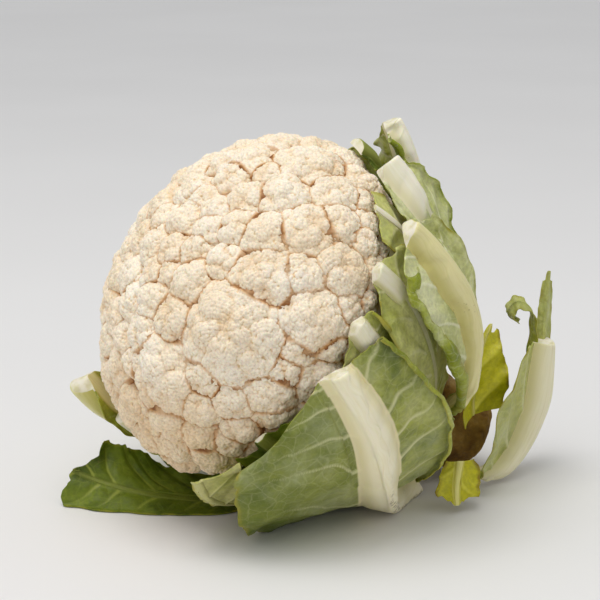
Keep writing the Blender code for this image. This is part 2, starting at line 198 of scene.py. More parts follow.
# ---------------------------------------------------------------- the head's own axes

@dataclass(frozen=True)
class Head:
    """The head's axes: the middle of the curd's rim and the three directions from it."""

    centre: np.ndarray
    crown: np.ndarray
    front: np.ndarray
    side: np.ndarray

    @classmethod
    def from_frame(cls, tilt: float = 34.5, turn: float = 205.8, roll: float = 2.7,
                   neck_height: float = -58.0) -> "Head":
        """Find the head from the frame: the curd's neck is a flat ring around the axis.

        Args:
            tilt: rise of the crown's direction above the floor.
            turn: the crown's direction seen from above.
            roll: how far the front is turned about the axis from level.
            neck_height: height of the neck ring.

        Returns:
            The head's axes, in millimetres.
        """
        tilt, turn, roll = (math.radians(angle) for angle in (tilt, turn, roll))
        crown = np.array([math.cos(tilt) * math.cos(turn), math.cos(tilt) * math.sin(turn), math.sin(tilt)])
        level = unit(np.cross(crown, (0.0, 0.0, 1.0)))
        level = level if level[1] < 0 else -level
        front = level * math.cos(roll) - np.cross(crown, level) * math.sin(roll)
        points = read_points(bpy.data.objects["curd"])
        heights = points @ crown
        ring = np.unique(np.round(points[heights < heights.min() + 0.05], 2), axis=0)
        centre = (ring.min(axis=0) + ring.max(axis=0)) / 2.0 - neck_height * crown
        return cls(centre, crown, front, np.cross(crown, front))

    def around(self, turn: np.ndarray) -> np.ndarray:
        """Unit directions away from the axis at the given turns."""
        angle = np.radians(turn)
        return np.multiply.outer(np.cos(angle), self.front) + np.multiply.outer(np.sin(angle), self.side)

    def point(self, height: np.ndarray, turn: np.ndarray, radius: np.ndarray) -> np.ndarray:
        """Places in millimetres of heights, turns and radii."""
        height, radius = np.asarray(height, float), np.asarray(radius, float)
        return self.centre + np.multiply.outer(height, self.crown) + radius[..., None] * self.around(turn)

    def from_own(self, vectors: np.ndarray) -> np.ndarray:
        """Places in millimetres of points given along front, side and crown."""
        return self.centre + vectors @ np.array([self.front, self.side, self.crown])


HEAD = Head.from_frame()

# ---------------------------------------------------------------- helpers for materials

def tint(code: str) -> tuple[float, float, float, float]:
    """The linear colour of a hexadecimal code.

    Args:
        code: six hexadecimal digits, red, green and blue.

    Returns:
        Red, green, blue and 1, as shaders take them.
    """
    parts = [int(code[at:at + 2], 16) / 255.0 for at in (0, 2, 4)]
    linear = [part / 12.92 if part <= 0.04045 else ((part + 0.055) / 1.055) ** 2.4 for part in parts]
    return (*linear, 1.0)


class Graph:
    """A node tree that is being filled."""

    def __init__(self, tree: bpy.types.NodeTree) -> None:
        """Keep the tree, and make a shared source of places."""
        self.tree = tree
        self.places: bpy.types.NodeSocket | None = None

    def node(self, kind: str, **settings: object) -> bpy.types.Node:
        """Add a node and set its properties.

        Args:
            kind: the node's type.
            settings: properties to set on it.

        Returns:
            The new node.
        """
        made = self.tree.nodes.new(kind)
        for name, value in settings.items():
            setattr(made, name, value)
        return made

    def feed(self, socket: bpy.types.NodeSocket, value: object) -> None:
        """Link a socket into another, or set its value.

        Args:
            socket: the input to feed.
            value: a socket to link, a value to set, or None to leave it.
        """
        if isinstance(value, bpy.types.NodeSocket):
            self.tree.links.new(value, socket)
        elif value is not None:
            socket.default_value = value

    def place(self) -> bpy.types.NodeSocket:
        """Object coordinates.

        Returns:
            The socket of the coordinates.
        """
        if self.places is None:
            self.places = self.node("ShaderNodeTexCoord").outputs["Object"]
        return self.places

    def mask(self, name: str) -> bpy.types.NodeSocket:
        """The value per vertex that a piece stores under a name."""
        return self.node("ShaderNodeAttribute", attribute_name=name).outputs["Fac"]

    def noise(self, scale: float, detail: float = 3.0, rough: float = 0.5,
              vector: bpy.types.NodeSocket | None = None, distortion: float = 0.0) -> bpy.types.NodeSocket:
        """Noise of a scale per metre, from 0 to 1.

        Args:
            scale: features per metre.
            detail: how many finer layers it has.
            rough: strength of those layers.
            vector: places to read, or None for object coordinates.
            distortion: how far it is warped.

        Returns:
            The socket of the result.
        """
        made = self.node("ShaderNodeTexNoise")
        self.feed(made.inputs["Vector"], vector or self.place())
        for name, value in (("Scale", scale), ("Detail", detail), ("Roughness", rough),
                            ("Distortion", distortion)):
            self.feed(made.inputs[name], value)
        return made.outputs["Fac"]

    def cells(self, scale: float, feature: str = "F1",
              vector: bpy.types.NodeSocket | None = None) -> bpy.types.NodeSocket:
        """Distance in a cell pattern of a scale per metre.

        Args:
            scale: cells per metre.
            feature: what is measured.
            vector: places to read, or None for object coordinates.

        Returns:
            The socket of the result.
        """
        made = self.node("ShaderNodeTexVoronoi", feature=feature)
        self.feed(made.inputs["Vector"], vector or self.place())
        self.feed(made.inputs["Scale"], scale)
        return made.outputs["Distance"]

    def span(self, value: bpy.types.NodeSocket, low: float, high: float, start: float = 0.0,
             end: float = 1.0) -> bpy.types.NodeSocket:
        """A smooth clamped change from start to end as a value goes from low to high.

        Args:
            value: the value to change.
            low: where the change starts.
            high: where it ends.
            start: the result up to there.
            end: the result from there on.

        Returns:
            The socket of the result.
        """
        made = self.node("ShaderNodeMapRange", interpolation_type="SMOOTHSTEP")
        for name, number in (("Value", value), ("From Min", low), ("From Max", high), ("To Min", start),
                             ("To Max", end)):
            self.feed(made.inputs[name], number)
        return made.outputs["Result"]

    def maths(self, operation: str, one: object, two: object = None) -> bpy.types.NodeSocket:
        """One arithmetic step.

        Args:
            operation: the step's name.
            one: its first value.
            two: its second value, if it takes one.

        Returns:
            The socket of the result.
        """
        made = self.node("ShaderNodeMath", operation=operation)
        self.feed(made.inputs[0], one)
        self.feed(made.inputs[1], two)
        return made.outputs[0]

    def times(self, one: object, two: object) -> bpy.types.NodeSocket:
        """The product of two values."""
        return self.maths("MULTIPLY", one, two)

    def mix(self, factor: object, one: object, two: object, blend: str = "MIX") -> bpy.types.NodeSocket:
        """Mix two colours.

        Args:
            factor: share of the second colour.
            one: the first colour.
            two: the second colour.
            blend: how they are mixed.

        Returns:
            The socket of the result.
        """
        made = self.node("ShaderNodeMix", data_type="RGBA", blend_type=blend)
        self.feed(made.inputs[0], factor)
        self.feed(made.inputs[6], one)
        self.feed(made.inputs[7], two)
        return made.outputs[2]

    def bump(self, height: bpy.types.NodeSocket, distance: float, strength: float = 1.0,
             normal: bpy.types.NodeSocket | None = None) -> bpy.types.NodeSocket:
        """A normal from a height, whose full step is a distance in millimetres.

        Args:
            height: the height to read.
            distance: its full step in millimetres.
            strength: how much of it shows.
            normal: a normal to start from.

        Returns:
            The socket of the result.
        """
        made = self.node("ShaderNodeBump")
        for name, value in (("Strength", strength), ("Distance", distance * MM), ("Height", height),
                            ("Normal", normal)):
            self.feed(made.inputs[name], value)
        return made.outputs["Normal"]

    def coat(self, shader: bpy.types.Node, colour: bpy.types.NodeSocket, grain: bpy.types.NodeSocket,
             low: float, high: float) -> None:
        """Feed a shader its colour, and a roughness that follows the grain from low to high.

        Args:
            shader: the shader to feed.
            colour: its colour.
            grain: the grain, from 0 to 1.
            low: roughness where the grain is low.
            high: roughness where it is high.
        """
        self.feed(shader.inputs["Base Color"], colour)
        self.feed(shader.inputs["Roughness"], self.span(grain, 0.3, 0.7, low, high))


def new_finish(name: str, subsurface: float, radius: Colour, scale: float,
               sheen: float = 0.0) -> tuple[bpy.types.Material, Graph, bpy.types.Node]:
    """Make a material with its uniform values set.

    Args:
        name: the material's name.
        subsurface: share of the light that scatters inside.
        radius: how far red, green and blue scatter, in scales.
        scale: the scale of that scattering in millimetres.
        sheen: weight of a soft sheen.

    Returns:
        The material, its graph and its Principled node.
    """
    material = bpy.data.materials.new(name)
    material.use_nodes = True
    graph = Graph(material.node_tree)
    shader = material.node_tree.nodes["Principled BSDF"]
    for socket, value in (("Subsurface Weight", subsurface), ("Subsurface Radius", radius),
                          ("Subsurface Scale", scale * MM), ("Sheen Weight", sheen)):
        shader.inputs[socket].default_value = value
    shader.inputs["Specular IOR Level"].default_value = 0.35
    return material, graph, shader


def new_group(name: str, inputs: tuple[tuple[str, str, object], ...],
              outputs: tuple[tuple[str, str], ...]) -> tuple[bpy.types.NodeTree, Graph, dict, dict]:
    """Start a shader node group.

    Args:
        name: the group's name.
        inputs: name, kind of socket and default value of each input.
        outputs: name and kind of socket of each output.

    Returns:
        The group, its graph, its inputs by name, and the sockets its outputs are fed at, by name.
    """
    tree = bpy.data.node_groups.new(name, "ShaderNodeTree")
    for label, kind, value in inputs:
        socket = tree.interface.new_socket(name=label, in_out="INPUT", socket_type=kind)
        if value is not None:
            socket.default_value = value
    for label, kind in outputs:
        tree.interface.new_socket(name=label, in_out="OUTPUT", socket_type=kind)
    graph = Graph(tree)
    source = graph.node("NodeGroupInput").outputs
    sink = graph.node("NodeGroupOutput").inputs
    graph.places = source["Vector"]
    return tree, graph, source, sink


def mottle_group() -> bpy.types.NodeTree:
    """Build the group that breaks up a colour with large and small soft patches.

    Returns:
        The group's node tree.
    """
    tree, graph, source, sink = new_group(
        "mottle", (("Vector", "NodeSocketVector", None), ("Colour", "NodeSocketColor", (1, 1, 1, 1)),
                   ("Dark", "NodeSocketColor", (0.5, 0.5, 0.5, 1)),
                   ("Light", "NodeSocketColor", (1, 1, 1, 1)),
                   ("Patch Scale", "NodeSocketFloat", 45.0), ("Grain Scale", "NodeSocketFloat", 420.0)),
        (("Colour", "NodeSocketColor"), ("Grain", "NodeSocketFloat")))
    patches = graph.noise(source["Patch Scale"], 4.0, 0.55)
    grain = graph.noise(source["Grain Scale"], 3.0, 0.6)
    colour = graph.mix(graph.span(patches, 0.56, 0.30), source["Colour"], source["Dark"])
    colour = graph.mix(graph.span(patches, 0.50, 0.72), colour, source["Light"])
    shade = graph.span(grain, 0.3, 0.7, 0.86, 1.12)
    graph.feed(sink["Colour"], graph.mix(1.0, colour, shade, "MULTIPLY"))
    graph.feed(sink["Grain"], grain)
    return tree


def speck_group() -> bpy.types.NodeTree:
    """Build the group that scatters small specks where patches allow them.

    Returns:
        The group's node tree.
    """
    tree, graph, source, sink = new_group(
        "specks", (("Vector", "NodeSocketVector", None), ("Scale", "NodeSocketFloat", 300.0),
                   ("Amount", "NodeSocketFloat", 0.5)),
        (("Mask", "NodeSocketFloat"),))
    spots = graph.span(graph.cells(source["Scale"]), 0.26, 0.10)
    patches = graph.span(graph.noise(55.0, 3.0, 0.6), 0.62, 0.74)
    chosen = graph.times(spots, patches)
    graph.feed(sink["Mask"], graph.times(chosen, source["Amount"]))
    return tree


def net_group() -> bpy.types.NodeTree:
    """Build the group that draws the fine net of veins between the large ones.

    Returns:
        The group's node tree.
    """
    tree, graph, source, sink = new_group(
        "vein_net", (("Vector", "NodeSocketVector", None), ("Scale", "NodeSocketFloat", 150.0)),
        (("Lines", "NodeSocketFloat"), ("Pillows", "NodeSocketFloat")))
    bend = graph.node("ShaderNodeVectorMath", operation="MULTIPLY_ADD")
    wander = graph.node("ShaderNodeTexNoise")
    graph.feed(wander.inputs["Vector"], source["Vector"])
    graph.feed(wander.inputs["Scale"], 120.0)
    graph.feed(bend.inputs[0], wander.outputs["Color"])
    graph.feed(bend.inputs[1], (0.004, 0.004, 0.004))
    graph.feed(bend.inputs[2], source["Vector"])
    coarse = graph.cells(source["Scale"], "DISTANCE_TO_EDGE", bend.outputs[0])
    fine = graph.cells(graph.times(source["Scale"], 3.1), "DISTANCE_TO_EDGE", bend.outputs[0])
    lines = graph.maths("ADD", graph.span(coarse, 0.055, 0.0), graph.span(fine, 0.09, 0.0, 0.0, 0.38))
    graph.feed(sink["Lines"], lines)
    graph.feed(sink["Pillows"], graph.span(coarse, 0.0, 0.35))
    return tree


class Groups:
    """The shared effects, built once, and a way to place them in a material."""

    def __init__(self) -> None:
        """Build the groups."""
        self.trees = {"mottle": mottle_group(), "specks": speck_group(), "net": net_group()}

    def place(self, graph: Graph, name: str, **values: object) -> bpy.types.Node:
        """Place a group and give its inputs their values.

        Args:
            graph: the material's graph.
            name: the group's key.
            values: input values, with _ for each space in an input's name.

        Returns:
            The group node.
        """
        made = graph.node("ShaderNodeGroup", node_tree=self.trees[name])
        graph.feed(made.inputs["Vector"], graph.place())
        for label, value in values.items():
            graph.feed(made.inputs[label.replace("_", " ")], value)
        return made


GROUPS = Groups()


@dataclass(frozen=True)
class CurdFinish:
    """The cream curd: pale knobs, with tan in the creases and brown in the deepest ones, partly the grooves'
    own colour and partly painted shade.
    """

    name: str = "cream_curd"
    knob: str = "feeed6"
    hollow: str = "e9cda0"
    seam: str = "cf9a5c"
    tone_and_shade: str = "8a5424"
    low_blotch: str = "c2a56a"
    roughness: float = 0.62

    def material(self) -> bpy.types.Material:
        """Build the material.

        Returns:
            The material.
        """
        material, graph, shader = new_finish(self.name, 0.2, (1.0, 0.62, 0.34), 1.1)
        mottle = GROUPS.place(graph, "mottle", Colour=tint(self.knob), Dark=tint("f6e2c4"),
                              Light=tint("fff3e0"), Patch_Scale=38.0, Grain_Scale=900.0)
        bead = graph.mask("bead")
        lobe = graph.mask("lobe")
        seam = graph.mask("seam")
        # the hollows between the beads turn tan, partly their own colour and partly painted shade
        colour = graph.mix(graph.span(bead, 0.45, 1.0), mottle.outputs["Colour"], tint(self.hollow))
        warm = graph.noise(60.0, 3.0, 0.6)
        # the creases at three sizes turn tan and the deepest brown, partly the grooves' own colour and partly
        # painted shade where little light reaches
        for crease, warmth, tone in (
                ((lobe, 0.35, 1.0), (warm, 0.3, 0.7, 0.15, 0.42), "e2bd88"),
                ((seam, 0.15, 0.85), (warm, 0.25, 0.7, 0.45, 1.0), self.seam),
                ((seam, 0.7, 1.0), (warm, 0.4, 0.62, 0.1, 0.95), self.tone_and_shade)):
            colour = graph.mix(graph.times(graph.span(*crease), graph.span(*warmth)), colour, tint(tone))
        # painted shade: the lower curd, turned away from the light, is multiplied toward a warm tan
        colour = graph.mix(graph.times(graph.mask("low"), 0.35), colour, tint("e9cf9c"), "MULTIPLY")
        # tan blotches over the lower part of the curd
        low_blotch = graph.times(graph.span(graph.noise(34.0, 5.0, 0.65), 0.60, 0.72), graph.mask("low"))
        colour = graph.mix(graph.times(low_blotch, 0.6), colour, tint(self.low_blotch))
        specks = GROUPS.place(graph, "specks", Scale=330.0, Amount=0.15)
        colour = graph.mix(graph.times(specks.outputs["Mask"], 0.5), colour, tint("a9b06a"))
        graph.coat(shader, colour, mottle.outputs["Grain"], self.roughness - 0.08, self.roughness + 0.1)
        graph.feed(shader.inputs["Normal"], graph.bump(mottle.outputs["Grain"], 0.22, 0.7))
        return material


@dataclass(frozen=True)
class LeafFinish:
    """A leaf: its two faces, ribs, veins, edges and cut flesh."""

    name: str
    slot: str
    outer: str
    outer_dark: str
    inner: str
    inner_dark: str
    rib: str
    rib_shade: str
    vein: str
    edge: str
    bloom: float = 0.3
    specks: float = 0.5
    roughness: float = 0.45

    def material(self) -> bpy.types.Material:
        """Build the material.

        Returns:
            The material.
        """
        material, graph, shader = new_finish(self.name, 0.18, (0.7, 1.0, 0.25), 1.6)
        side, rib, vein = graph.mask("side"), graph.mask("rib"), graph.mask("vein")
        face = graph.mix(side, tint(self.inner), tint(self.outer))
        shade = graph.mix(side, tint(self.inner_dark), tint(self.outer_dark))
        light = graph.mix(0.35, face, tint(self.vein))
        mottle = GROUPS.place(graph, "mottle", Colour=face, Dark=shade, Light=light, Patch_Scale=42.0,
                              Grain_Scale=520.0)
        net = GROUPS.place(graph, "net", Scale=135.0)
        # partly painted shade: one half of the blade is mixed toward the dark colour, partly for its own
        # deeper green and partly for the shade it lies in
        colour = graph.mix(graph.mask("tone_and_shade"), mottle.outputs["Colour"], shade)
        colour = graph.mix(graph.times(net.outputs["Lines"], 0.14), colour, tint(self.vein))
        bloom = graph.span(graph.noise(26.0, 5.0, 0.7), 0.42, 0.70, 0.0, self.bloom)
        colour = graph.mix(graph.times(bloom, side), colour, tint("ccd0ae"))
        colour = graph.mix(graph.span(vein, 0.25, 1.0, 0.0, 0.75), colour, tint(self.vein))
        edge = graph.times(graph.mask("edge"), graph.span(graph.noise(170.0), 0.35, 0.62))
        colour = graph.mix(edge, colour, tint(self.edge))
        streaks = graph.node("ShaderNodeUVMap", uv_map="UVMap").outputs["UV"]
        stretch = graph.node("ShaderNodeVectorMath", operation="MULTIPLY")
        graph.feed(stretch.inputs[0], streaks)
        graph.feed(stretch.inputs[1], (1.0, 0.045, 1.0))
        streak = graph.noise(0.9, 3.0, 0.6, stretch.outputs[0])
        stalk = graph.mix(graph.span(streak, 0.4, 0.75, 0.0, 0.55), tint(self.rib), tint(self.rib_shade))
        # painted shade: the rib darkens toward its sides, where its round section turns away from the light
        stalk = graph.mix(graph.span(graph.mask("crown"), 0.8, 0.15, 0.0, 0.9), stalk, tint(self.rib_shade))
        colour = graph.mix(graph.span(rib, 0.25, 0.8), colour, stalk)
        specks = GROUPS.place(graph, "specks", Scale=520.0, Amount=self.specks)
        # brown marks along the rib, strongest toward its base
        line = graph.span(graph.mask("low_blotch"), 0.2, 0.9)
        marks = graph.times(line, graph.span(graph.noise(330.0, 4.0, 0.7), 0.44, 0.60))
        marks = graph.maths("MAXIMUM", specks.outputs["Mask"], marks)
        colour = graph.mix(graph.times(marks, 0.75), colour, tint("6f5a2c"))
        flesh = graph.mix(graph.span(graph.noise(260.0, 4.0), 0.35, 0.7), tint("efe9d6"), tint("d9d2a8"))
        colour = graph.mix(graph.span(graph.mask("flesh"), 0.4, 0.7), colour, flesh)
        graph.coat(shader, colour, mottle.outputs["Grain"], self.roughness - 0.08, self.roughness + 0.12)
        smooth = graph.span(rib, 0.2, 0.8, 1.0, 0.12)
        relief = graph.times(net.outputs["Pillows"], smooth)
        normal = graph.bump(relief, 0.35, 0.7)
        grain = graph.times(mottle.outputs["Grain"], smooth)
        graph.feed(shader.inputs["Normal"], graph.bump(grain, 0.35, 0.6, normal))
        return material


@dataclass(frozen=True)
class StumpFinish:
    """The stump: weathered brown skin, paler where it is scraped, with painted shade darkening its hollow."""

    name: str = "brown_stump"
    skin: str = "a07a38"
    dark: str = "654414"
    pale: str = "c8aa66"

    def material(self) -> bpy.types.Material:
        """Build the material.

        Returns:
            The material.
        """
        material, graph, shader = new_finish(self.name, 0.05, (1.0, 0.6, 0.3), 1.0)
        mottle = GROUPS.place(graph, "mottle", Colour=tint(self.skin), Dark=tint(self.dark),
                              Light=tint(self.pale), Patch_Scale=70.0, Grain_Scale=480.0)
        # painted shade: the hollow is mixed toward near black
        hollow = graph.span(graph.mask("hollow"), 0.2, 0.9)
        colour = graph.mix(hollow, mottle.outputs["Colour"], tint("1c1006"))
        graph.coat(shader, colour, mottle.outputs["Grain"], 0.6, 0.85)
        rough = graph.maths("ADD", graph.noise(150.0, 5.0, 0.65), mottle.outputs["Grain"])
        graph.feed(shader.inputs["Normal"], graph.bump(rough, 1.2, 0.8))
        return material


# ---------------------------------------------------------------- the curd

@dataclass(frozen=True)
class Floret:
    """One floret in head axes: its ball's centre, its spot on the dome, and its two radii.

    seen is its radius as it shows on the dome, and ball is the whole radius of its ball.
    """

    centre: np.ndarray
    spot: np.ndarray
    seen: float
    ball: float

    @property
    def out(self) -> np.ndarray:
        """The direction that the floret faces, in head axes."""
        return unit(self.centre + 1e-6)


@dataclass(frozen=True)
class Relief:
    """One size of bump on a floret: how its domes stray, fill out, vary, stand up and sink."""

    jitter: float
    fullness: float
    vary: float
    height: float
    sink: float


KNOBS = Relief(0.16, 1.15, 0.10, 0.85, 0.08)
CLUSTERS = Relief(0.14, 0.95, 0.08, 0.65, 0.2)
BEADS = Relief(0.12, 0.62, 0.04, 0.88, 0.22)


@dataclass
class Curd:
    """The curd: florets with knobs and beads, packed on a dome over a smooth core."""

    radius: float = 80.0
    crown: float = 61.5
    under: Rail = ((-12.0, 75.0, 0.0), (-26.0, 62.0, 0.0), (-40.0, 44.0, 0.0), (-52.0, 31.0, 0.0),
                   (-58.0, 25.0, 0.0))
    swell: float = 0.28
    ball: float = 1.25
    fills: tuple[float, ...] = (13.0, 10.0, 7.5, 5.5)
    lowest: float = -13.0
    spacing: float = 0.40
    cap: float = 62.0
    cap_share: float = 0.86
    knob: float = 10.5
    cluster: float = 4.3
    bead: float = 1.6
    pieces: int = 10
    florets: tuple[tuple[int, int, int], ...] = (
        (37, -13, 24), (41, -53, 21), (52, -58, 12), (34, -33, 11), (26, -43, 10), (20, -31, 10),
        (15, 6, 16), (26, 18, 11), (14, -4, 9), (13, -12, 9), (12, -21, 12), (38, 11, 16),
        (54, -9, 12), (50, 11, 9), (42, 30, 12), (29, 35, 14), (18, 41, 11), (12, 25, 13),
        (28, 70, 18), (20, 54, 12), (44, 84, 13), (39, 52, 12), (51, 80, 10), (57, -45, 11),
        (54, -102, 11), (60, -40, 9), (57, 14, 8), (57, 100, 10), (56, 33, 8), (50, 33, 9),
        (52, 121, 10), (49, 53, 9), (27, -60, 12), (15, -52, 10), (14, -82, 11), (5, -46, 8),
        (8, -37, 9), (45, -114, 10), (43, -90, 10), (34, -81, 10), (8, 54, 8), (5, 38, 8),
        (3, 15, 8), (3, 2, 8), (4, -26, 9), (8, 80, 11), (6, 100, 12))

    def across(self, height: float) -> float:
        """Radius of the smooth dome at a height.

        Args:
            height: a height above the rim.

        Returns:
            The radius in millimetres.
        """
        if height < 0.0:
            heights, radii, _ = zip(*self.under[::-1], (0.0, self.radius, 0.0))
            return float(np.interp(height, heights, radii))
        return self.radius * math.sqrt(max(0.0, 1.0 - (height / self.crown) ** 2))

    def floret(self, height: float, turn: float, seen: float) -> Floret:
        """Place a floret on the dome.

        Args:
            height: its height on the dome.
            turn: its turn.
            seen: its radius as seen from outside.

        Returns:
            The floret, sunk so that it swells a little out of the dome.
        """
        across = self.across(height)
        slope = unit(np.array([height / self.crown ** 2, across / self.radius ** 2]))
        depth = (self.ball - self.swell) * seen
        up, out = height - depth * slope[0], across - depth * slope[1]
        angle = math.radians(turn)
        around = np.array([math.cos(angle), math.sin(angle)])
        return Floret(np.append(out * around, up), np.append(across * around, height), seen, self.ball * seen)

    def packed(self) -> list[Floret]:
        """The listed florets, then small ones along a spiral wherever there is room.

        Returns:
            The florets, the listed ones first.
        """
        florets = [self.floret(*place) for place in self.florets]
        spiral = math.pi * GOLDEN_SHARE
        theirs, own = FLORET_ROOM
        for fill in self.fills:
            for number in range(SPIRAL_TRIES):
                share = (1.0 - (number + 0.5) / SPIRAL_TRIES) ** CROWN_CROWDING
                height = self.lowest + (self.crown - self.lowest) * share
                seen = fill * (1.0 - FLORET_VARIETY + FLORET_VARIETY * math.sin(number * VARIETY_PACE))
                made = self.floret(height, math.degrees(number * spiral) % 360.0, seen)
                if all(np.linalg.norm(made.spot - other.spot) > theirs * other.seen + own * seen
                       for other in florets):
                    florets.append(made)
        return florets

    def seeds(self, ball: float, gap: float, jitter: float, rng: np.random.Generator) -> np.ndarray:
        """Directions spread over a ball's cap, about a gap apart.

        Args:
            ball: the ball's radius.
            gap: distance between neighbours.
            jitter: how far each strays, in gaps.
            rng: source of random numbers.

        Returns:
            Unit directions around +Z.
        """
        count = max(12, int(4.0 * math.pi * ball ** 2 / (0.866 * gap ** 2)))
        number = np.arange(count) + 0.5
        up = 1.0 - 2.0 * number / count
        angle = number * math.pi * GOLDEN_SHARE + rng.uniform(0.0, ANY_TURN)
        flat = np.sqrt(1.0 - up ** 2)
        spots = np.stack([flat * np.cos(angle), flat * np.sin(angle), up], axis=1)
        spots = unit(spots + rng.normal(0.0, jitter * gap / ball, spots.shape))
        return spots[spots[:, 2] > math.cos(math.radians(self.cap + 12.0))]

    def domes(self, directions: np.ndarray, ball: float, gap: float, relief: Relief,
              rng: np.random.Generator) -> tuple[np.ndarray, np.ndarray]:
        """Heights of a packing of small domes, and how close each place is to their creases.

        Args:
            directions: unit directions to look along.
            ball: radius of the ball they sit on.
            gap: distance between neighbouring domes.
            relief: how the domes stray, fill out and vary.
            rng: source of random numbers.

        Returns:
            Heights in millimetres above the creases, and creases from 0 to 1.
        """
        seeds = self.seeds(ball, gap, relief.jitter, rng)
        size = gap * (relief.fullness + rng.uniform(-relief.vary, relief.vary, len(seeds)))
        height = np.empty(len(directions))
        for first in range(0, len(directions), SEARCH_STEP):
            part = slice(first, first + SEARCH_STEP)
            near = directions[part].astype(np.float32) @ seeds.T.astype(np.float32)
            apart = (2.0 - 2.0 * near) * ball ** 2
            height[part] = np.max(size[None, :] ** 2 - apart, axis=1)
        top, bottom = gap * relief.fullness, gap * math.sqrt(max(relief.fullness ** 2 - 0.36, 0.01))
        height = np.sqrt(np.maximum(height, (0.55 * bottom) ** 2))
        return height - bottom, np.clip((top - height) / (top - bottom), 0.0, 1.0)

    def start_ball(self, ball: float) -> tuple[bpy.types.Object, np.ndarray]:
        """Start a floret from a cut cube, with most of its faces on the cap that shows.

        Args:
            ball: the floret's full radius.

        Returns:
            The object, and a unit direction for each vertex, with the cap around +Z.
        """
        shown = 2.0 * math.pi * ball ** 2 * (1.0 - math.cos(math.radians(self.cap)))
        cuts = int(math.sqrt(shown / self.cap_share / self.spacing ** 2 / 6.0)) - 1
        deselect()
        bpy.ops.mesh.primitive_cube_add(size=2.0)
        piece = bpy.context.object
        edit_all(bpy.ops.mesh.subdivide, number_cuts=max(cuts, 6))
        cube = read_points(piece) * MM
        turned = unit(np.tan(cube * math.pi / 4.0))
        share = (1.0 - turned[:, 2]) / 2.0
        capped = (1.0 - math.cos(math.radians(self.cap))) / 2.0
        inner = share / self.cap_share * capped
        outer = capped + (share - self.cap_share) / (1.0 - self.cap_share) * (1.0 - capped)
        up = 1.0 - 2.0 * np.where(share < self.cap_share, inner, outer)
        flat = np.sqrt(np.clip(1.0 - up ** 2, 0.0, 1.0))
        return piece, np.column_stack([unit(turned[:, :2]) * flat[:, None], up])

    @staticmethod
    def room(number: int, florets: list[Floret], own: np.ndarray) -> np.ndarray:
        """Distance from places on one floret's ball to the nearest other ball.

        Args:
            number: the floret's place in the list.
            florets: all the florets.
            own: the places, in head axes.

        Returns:
            A distance for each place, in millimetres.
        """
        floret = florets[number]
        gap = np.full(len(own), 9.0)
        for other_number, other in enumerate(florets):
            apart = np.linalg.norm(other.centre - floret.centre)
            if other_number != number and apart < floret.ball + other.ball + 3.0:
                gap = np.minimum(gap, np.linalg.norm(own - other.centre, axis=1) - other.ball)
        return gap

    def build_floret(self, number: int, florets: list[Floret],
                     material: bpy.types.Material) -> bpy.types.Object:
        """Model one floret: a ball with knobs, clusters and beads on the side that shows.

        Args:
            number: the floret's place in the list.
            florets: all the florets.
            material: the curd's material.

        Returns:
            The floret as a closed mesh.
        """
        floret = florets[number]
        rng = np.random.default_rng(FLORET_SEED + number)
        ball = floret.ball
        piece, local = self.start_ball(ball)
        out = floret.out
        east = unit(np.cross(out, (0.31, 0.17, 0.93)))
        axes = np.array([east, np.cross(out, east), out])
        knob = min(self.knob, 0.62 * floret.seen + 1.5)
        high, lobe = self.domes(local, ball, knob, KNOBS, rng)
        reach = ball - KNOBS.sink * knob + KNOBS.height * high
        place = HEAD.from_own(floret.centre + (local * reach[:, None]) @ axes)
        creases = []
        for size, relief in ((self.cluster, CLUSTERS), (self.bead, BEADS)):
            write_points(piece, place)
            high, crease = self.domes(local, ball, size, relief, rng)
            place = place + read_normals(piece) * (relief.height * high - relief.sink)[:, None]
            creases.append(crease)
        clump, bead = creases
        seam = 1.0 - smoothstep(-0.6, 1.7, self.room(number, florets, floret.centre + (local * ball) @ axes))
        write_points(piece, place)
        write_mask(piece, "seam", seam)
        write_mask(piece, "lobe", np.clip(0.75 * lobe + 0.45 * clump * lobe, 0.0, 1.0))
        write_mask(piece, "bead", 0.7 * bead + 0.3 * clump)
        # how low a place sits on the curd, which the painted shade and the blotches toward the bottom follow
        write_mask(piece, "low", smoothstep(85.0, 40.0, place[:, 2]))
        return name_piece(piece, f"floret_{number:03d}", material)

    def build_core(self, material: bpy.types.Material) -> bpy.types.Object:
        """Model the smooth core under the florets, down to its neck.

        Args:
            material: the curd's material.

        Returns:
            The core as a closed mesh.
        """
        deselect()
        bpy.ops.mesh.primitive_uv_sphere_add(segments=64, ring_count=40, radius=1.0)
        piece = bpy.context.object
        ball = read_points(piece) * MM
        polar = np.arccos(np.clip(ball[:, 2], -1.0, 1.0))
        steps = np.linspace(0.0, math.pi / 2.0, 12)
        heights = [self.crown * CORE_SHARE * math.cos(step) for step in steps]
        radii = [CORE_SHARE * self.across(height / CORE_SHARE) for height in heights]
        heights += [height for height, _, _ in self.under] + [self.under[-1][0]]
        radii += [0.94 * radius for _, radius, _ in self.under] + [0.0]
        turn = np.arctan2(heights, radii)
        height = np.interp(math.pi / 2.0 - polar, turn[::-1], heights[::-1])
        radius = np.interp(math.pi / 2.0 - polar, turn[::-1], radii[::-1])
        own = np.column_stack([unit(ball[:, :2]) * radius[:, None], height])
        write_points(piece, HEAD.from_own(own))
        for name, value in (("seam", 0.5), ("lobe", 0.8), ("bead", 0.5), ("low", 0.0)):
            write_mask(piece, name, np.full(len(ball), value))
        return name_piece(piece, "curd_core", material)

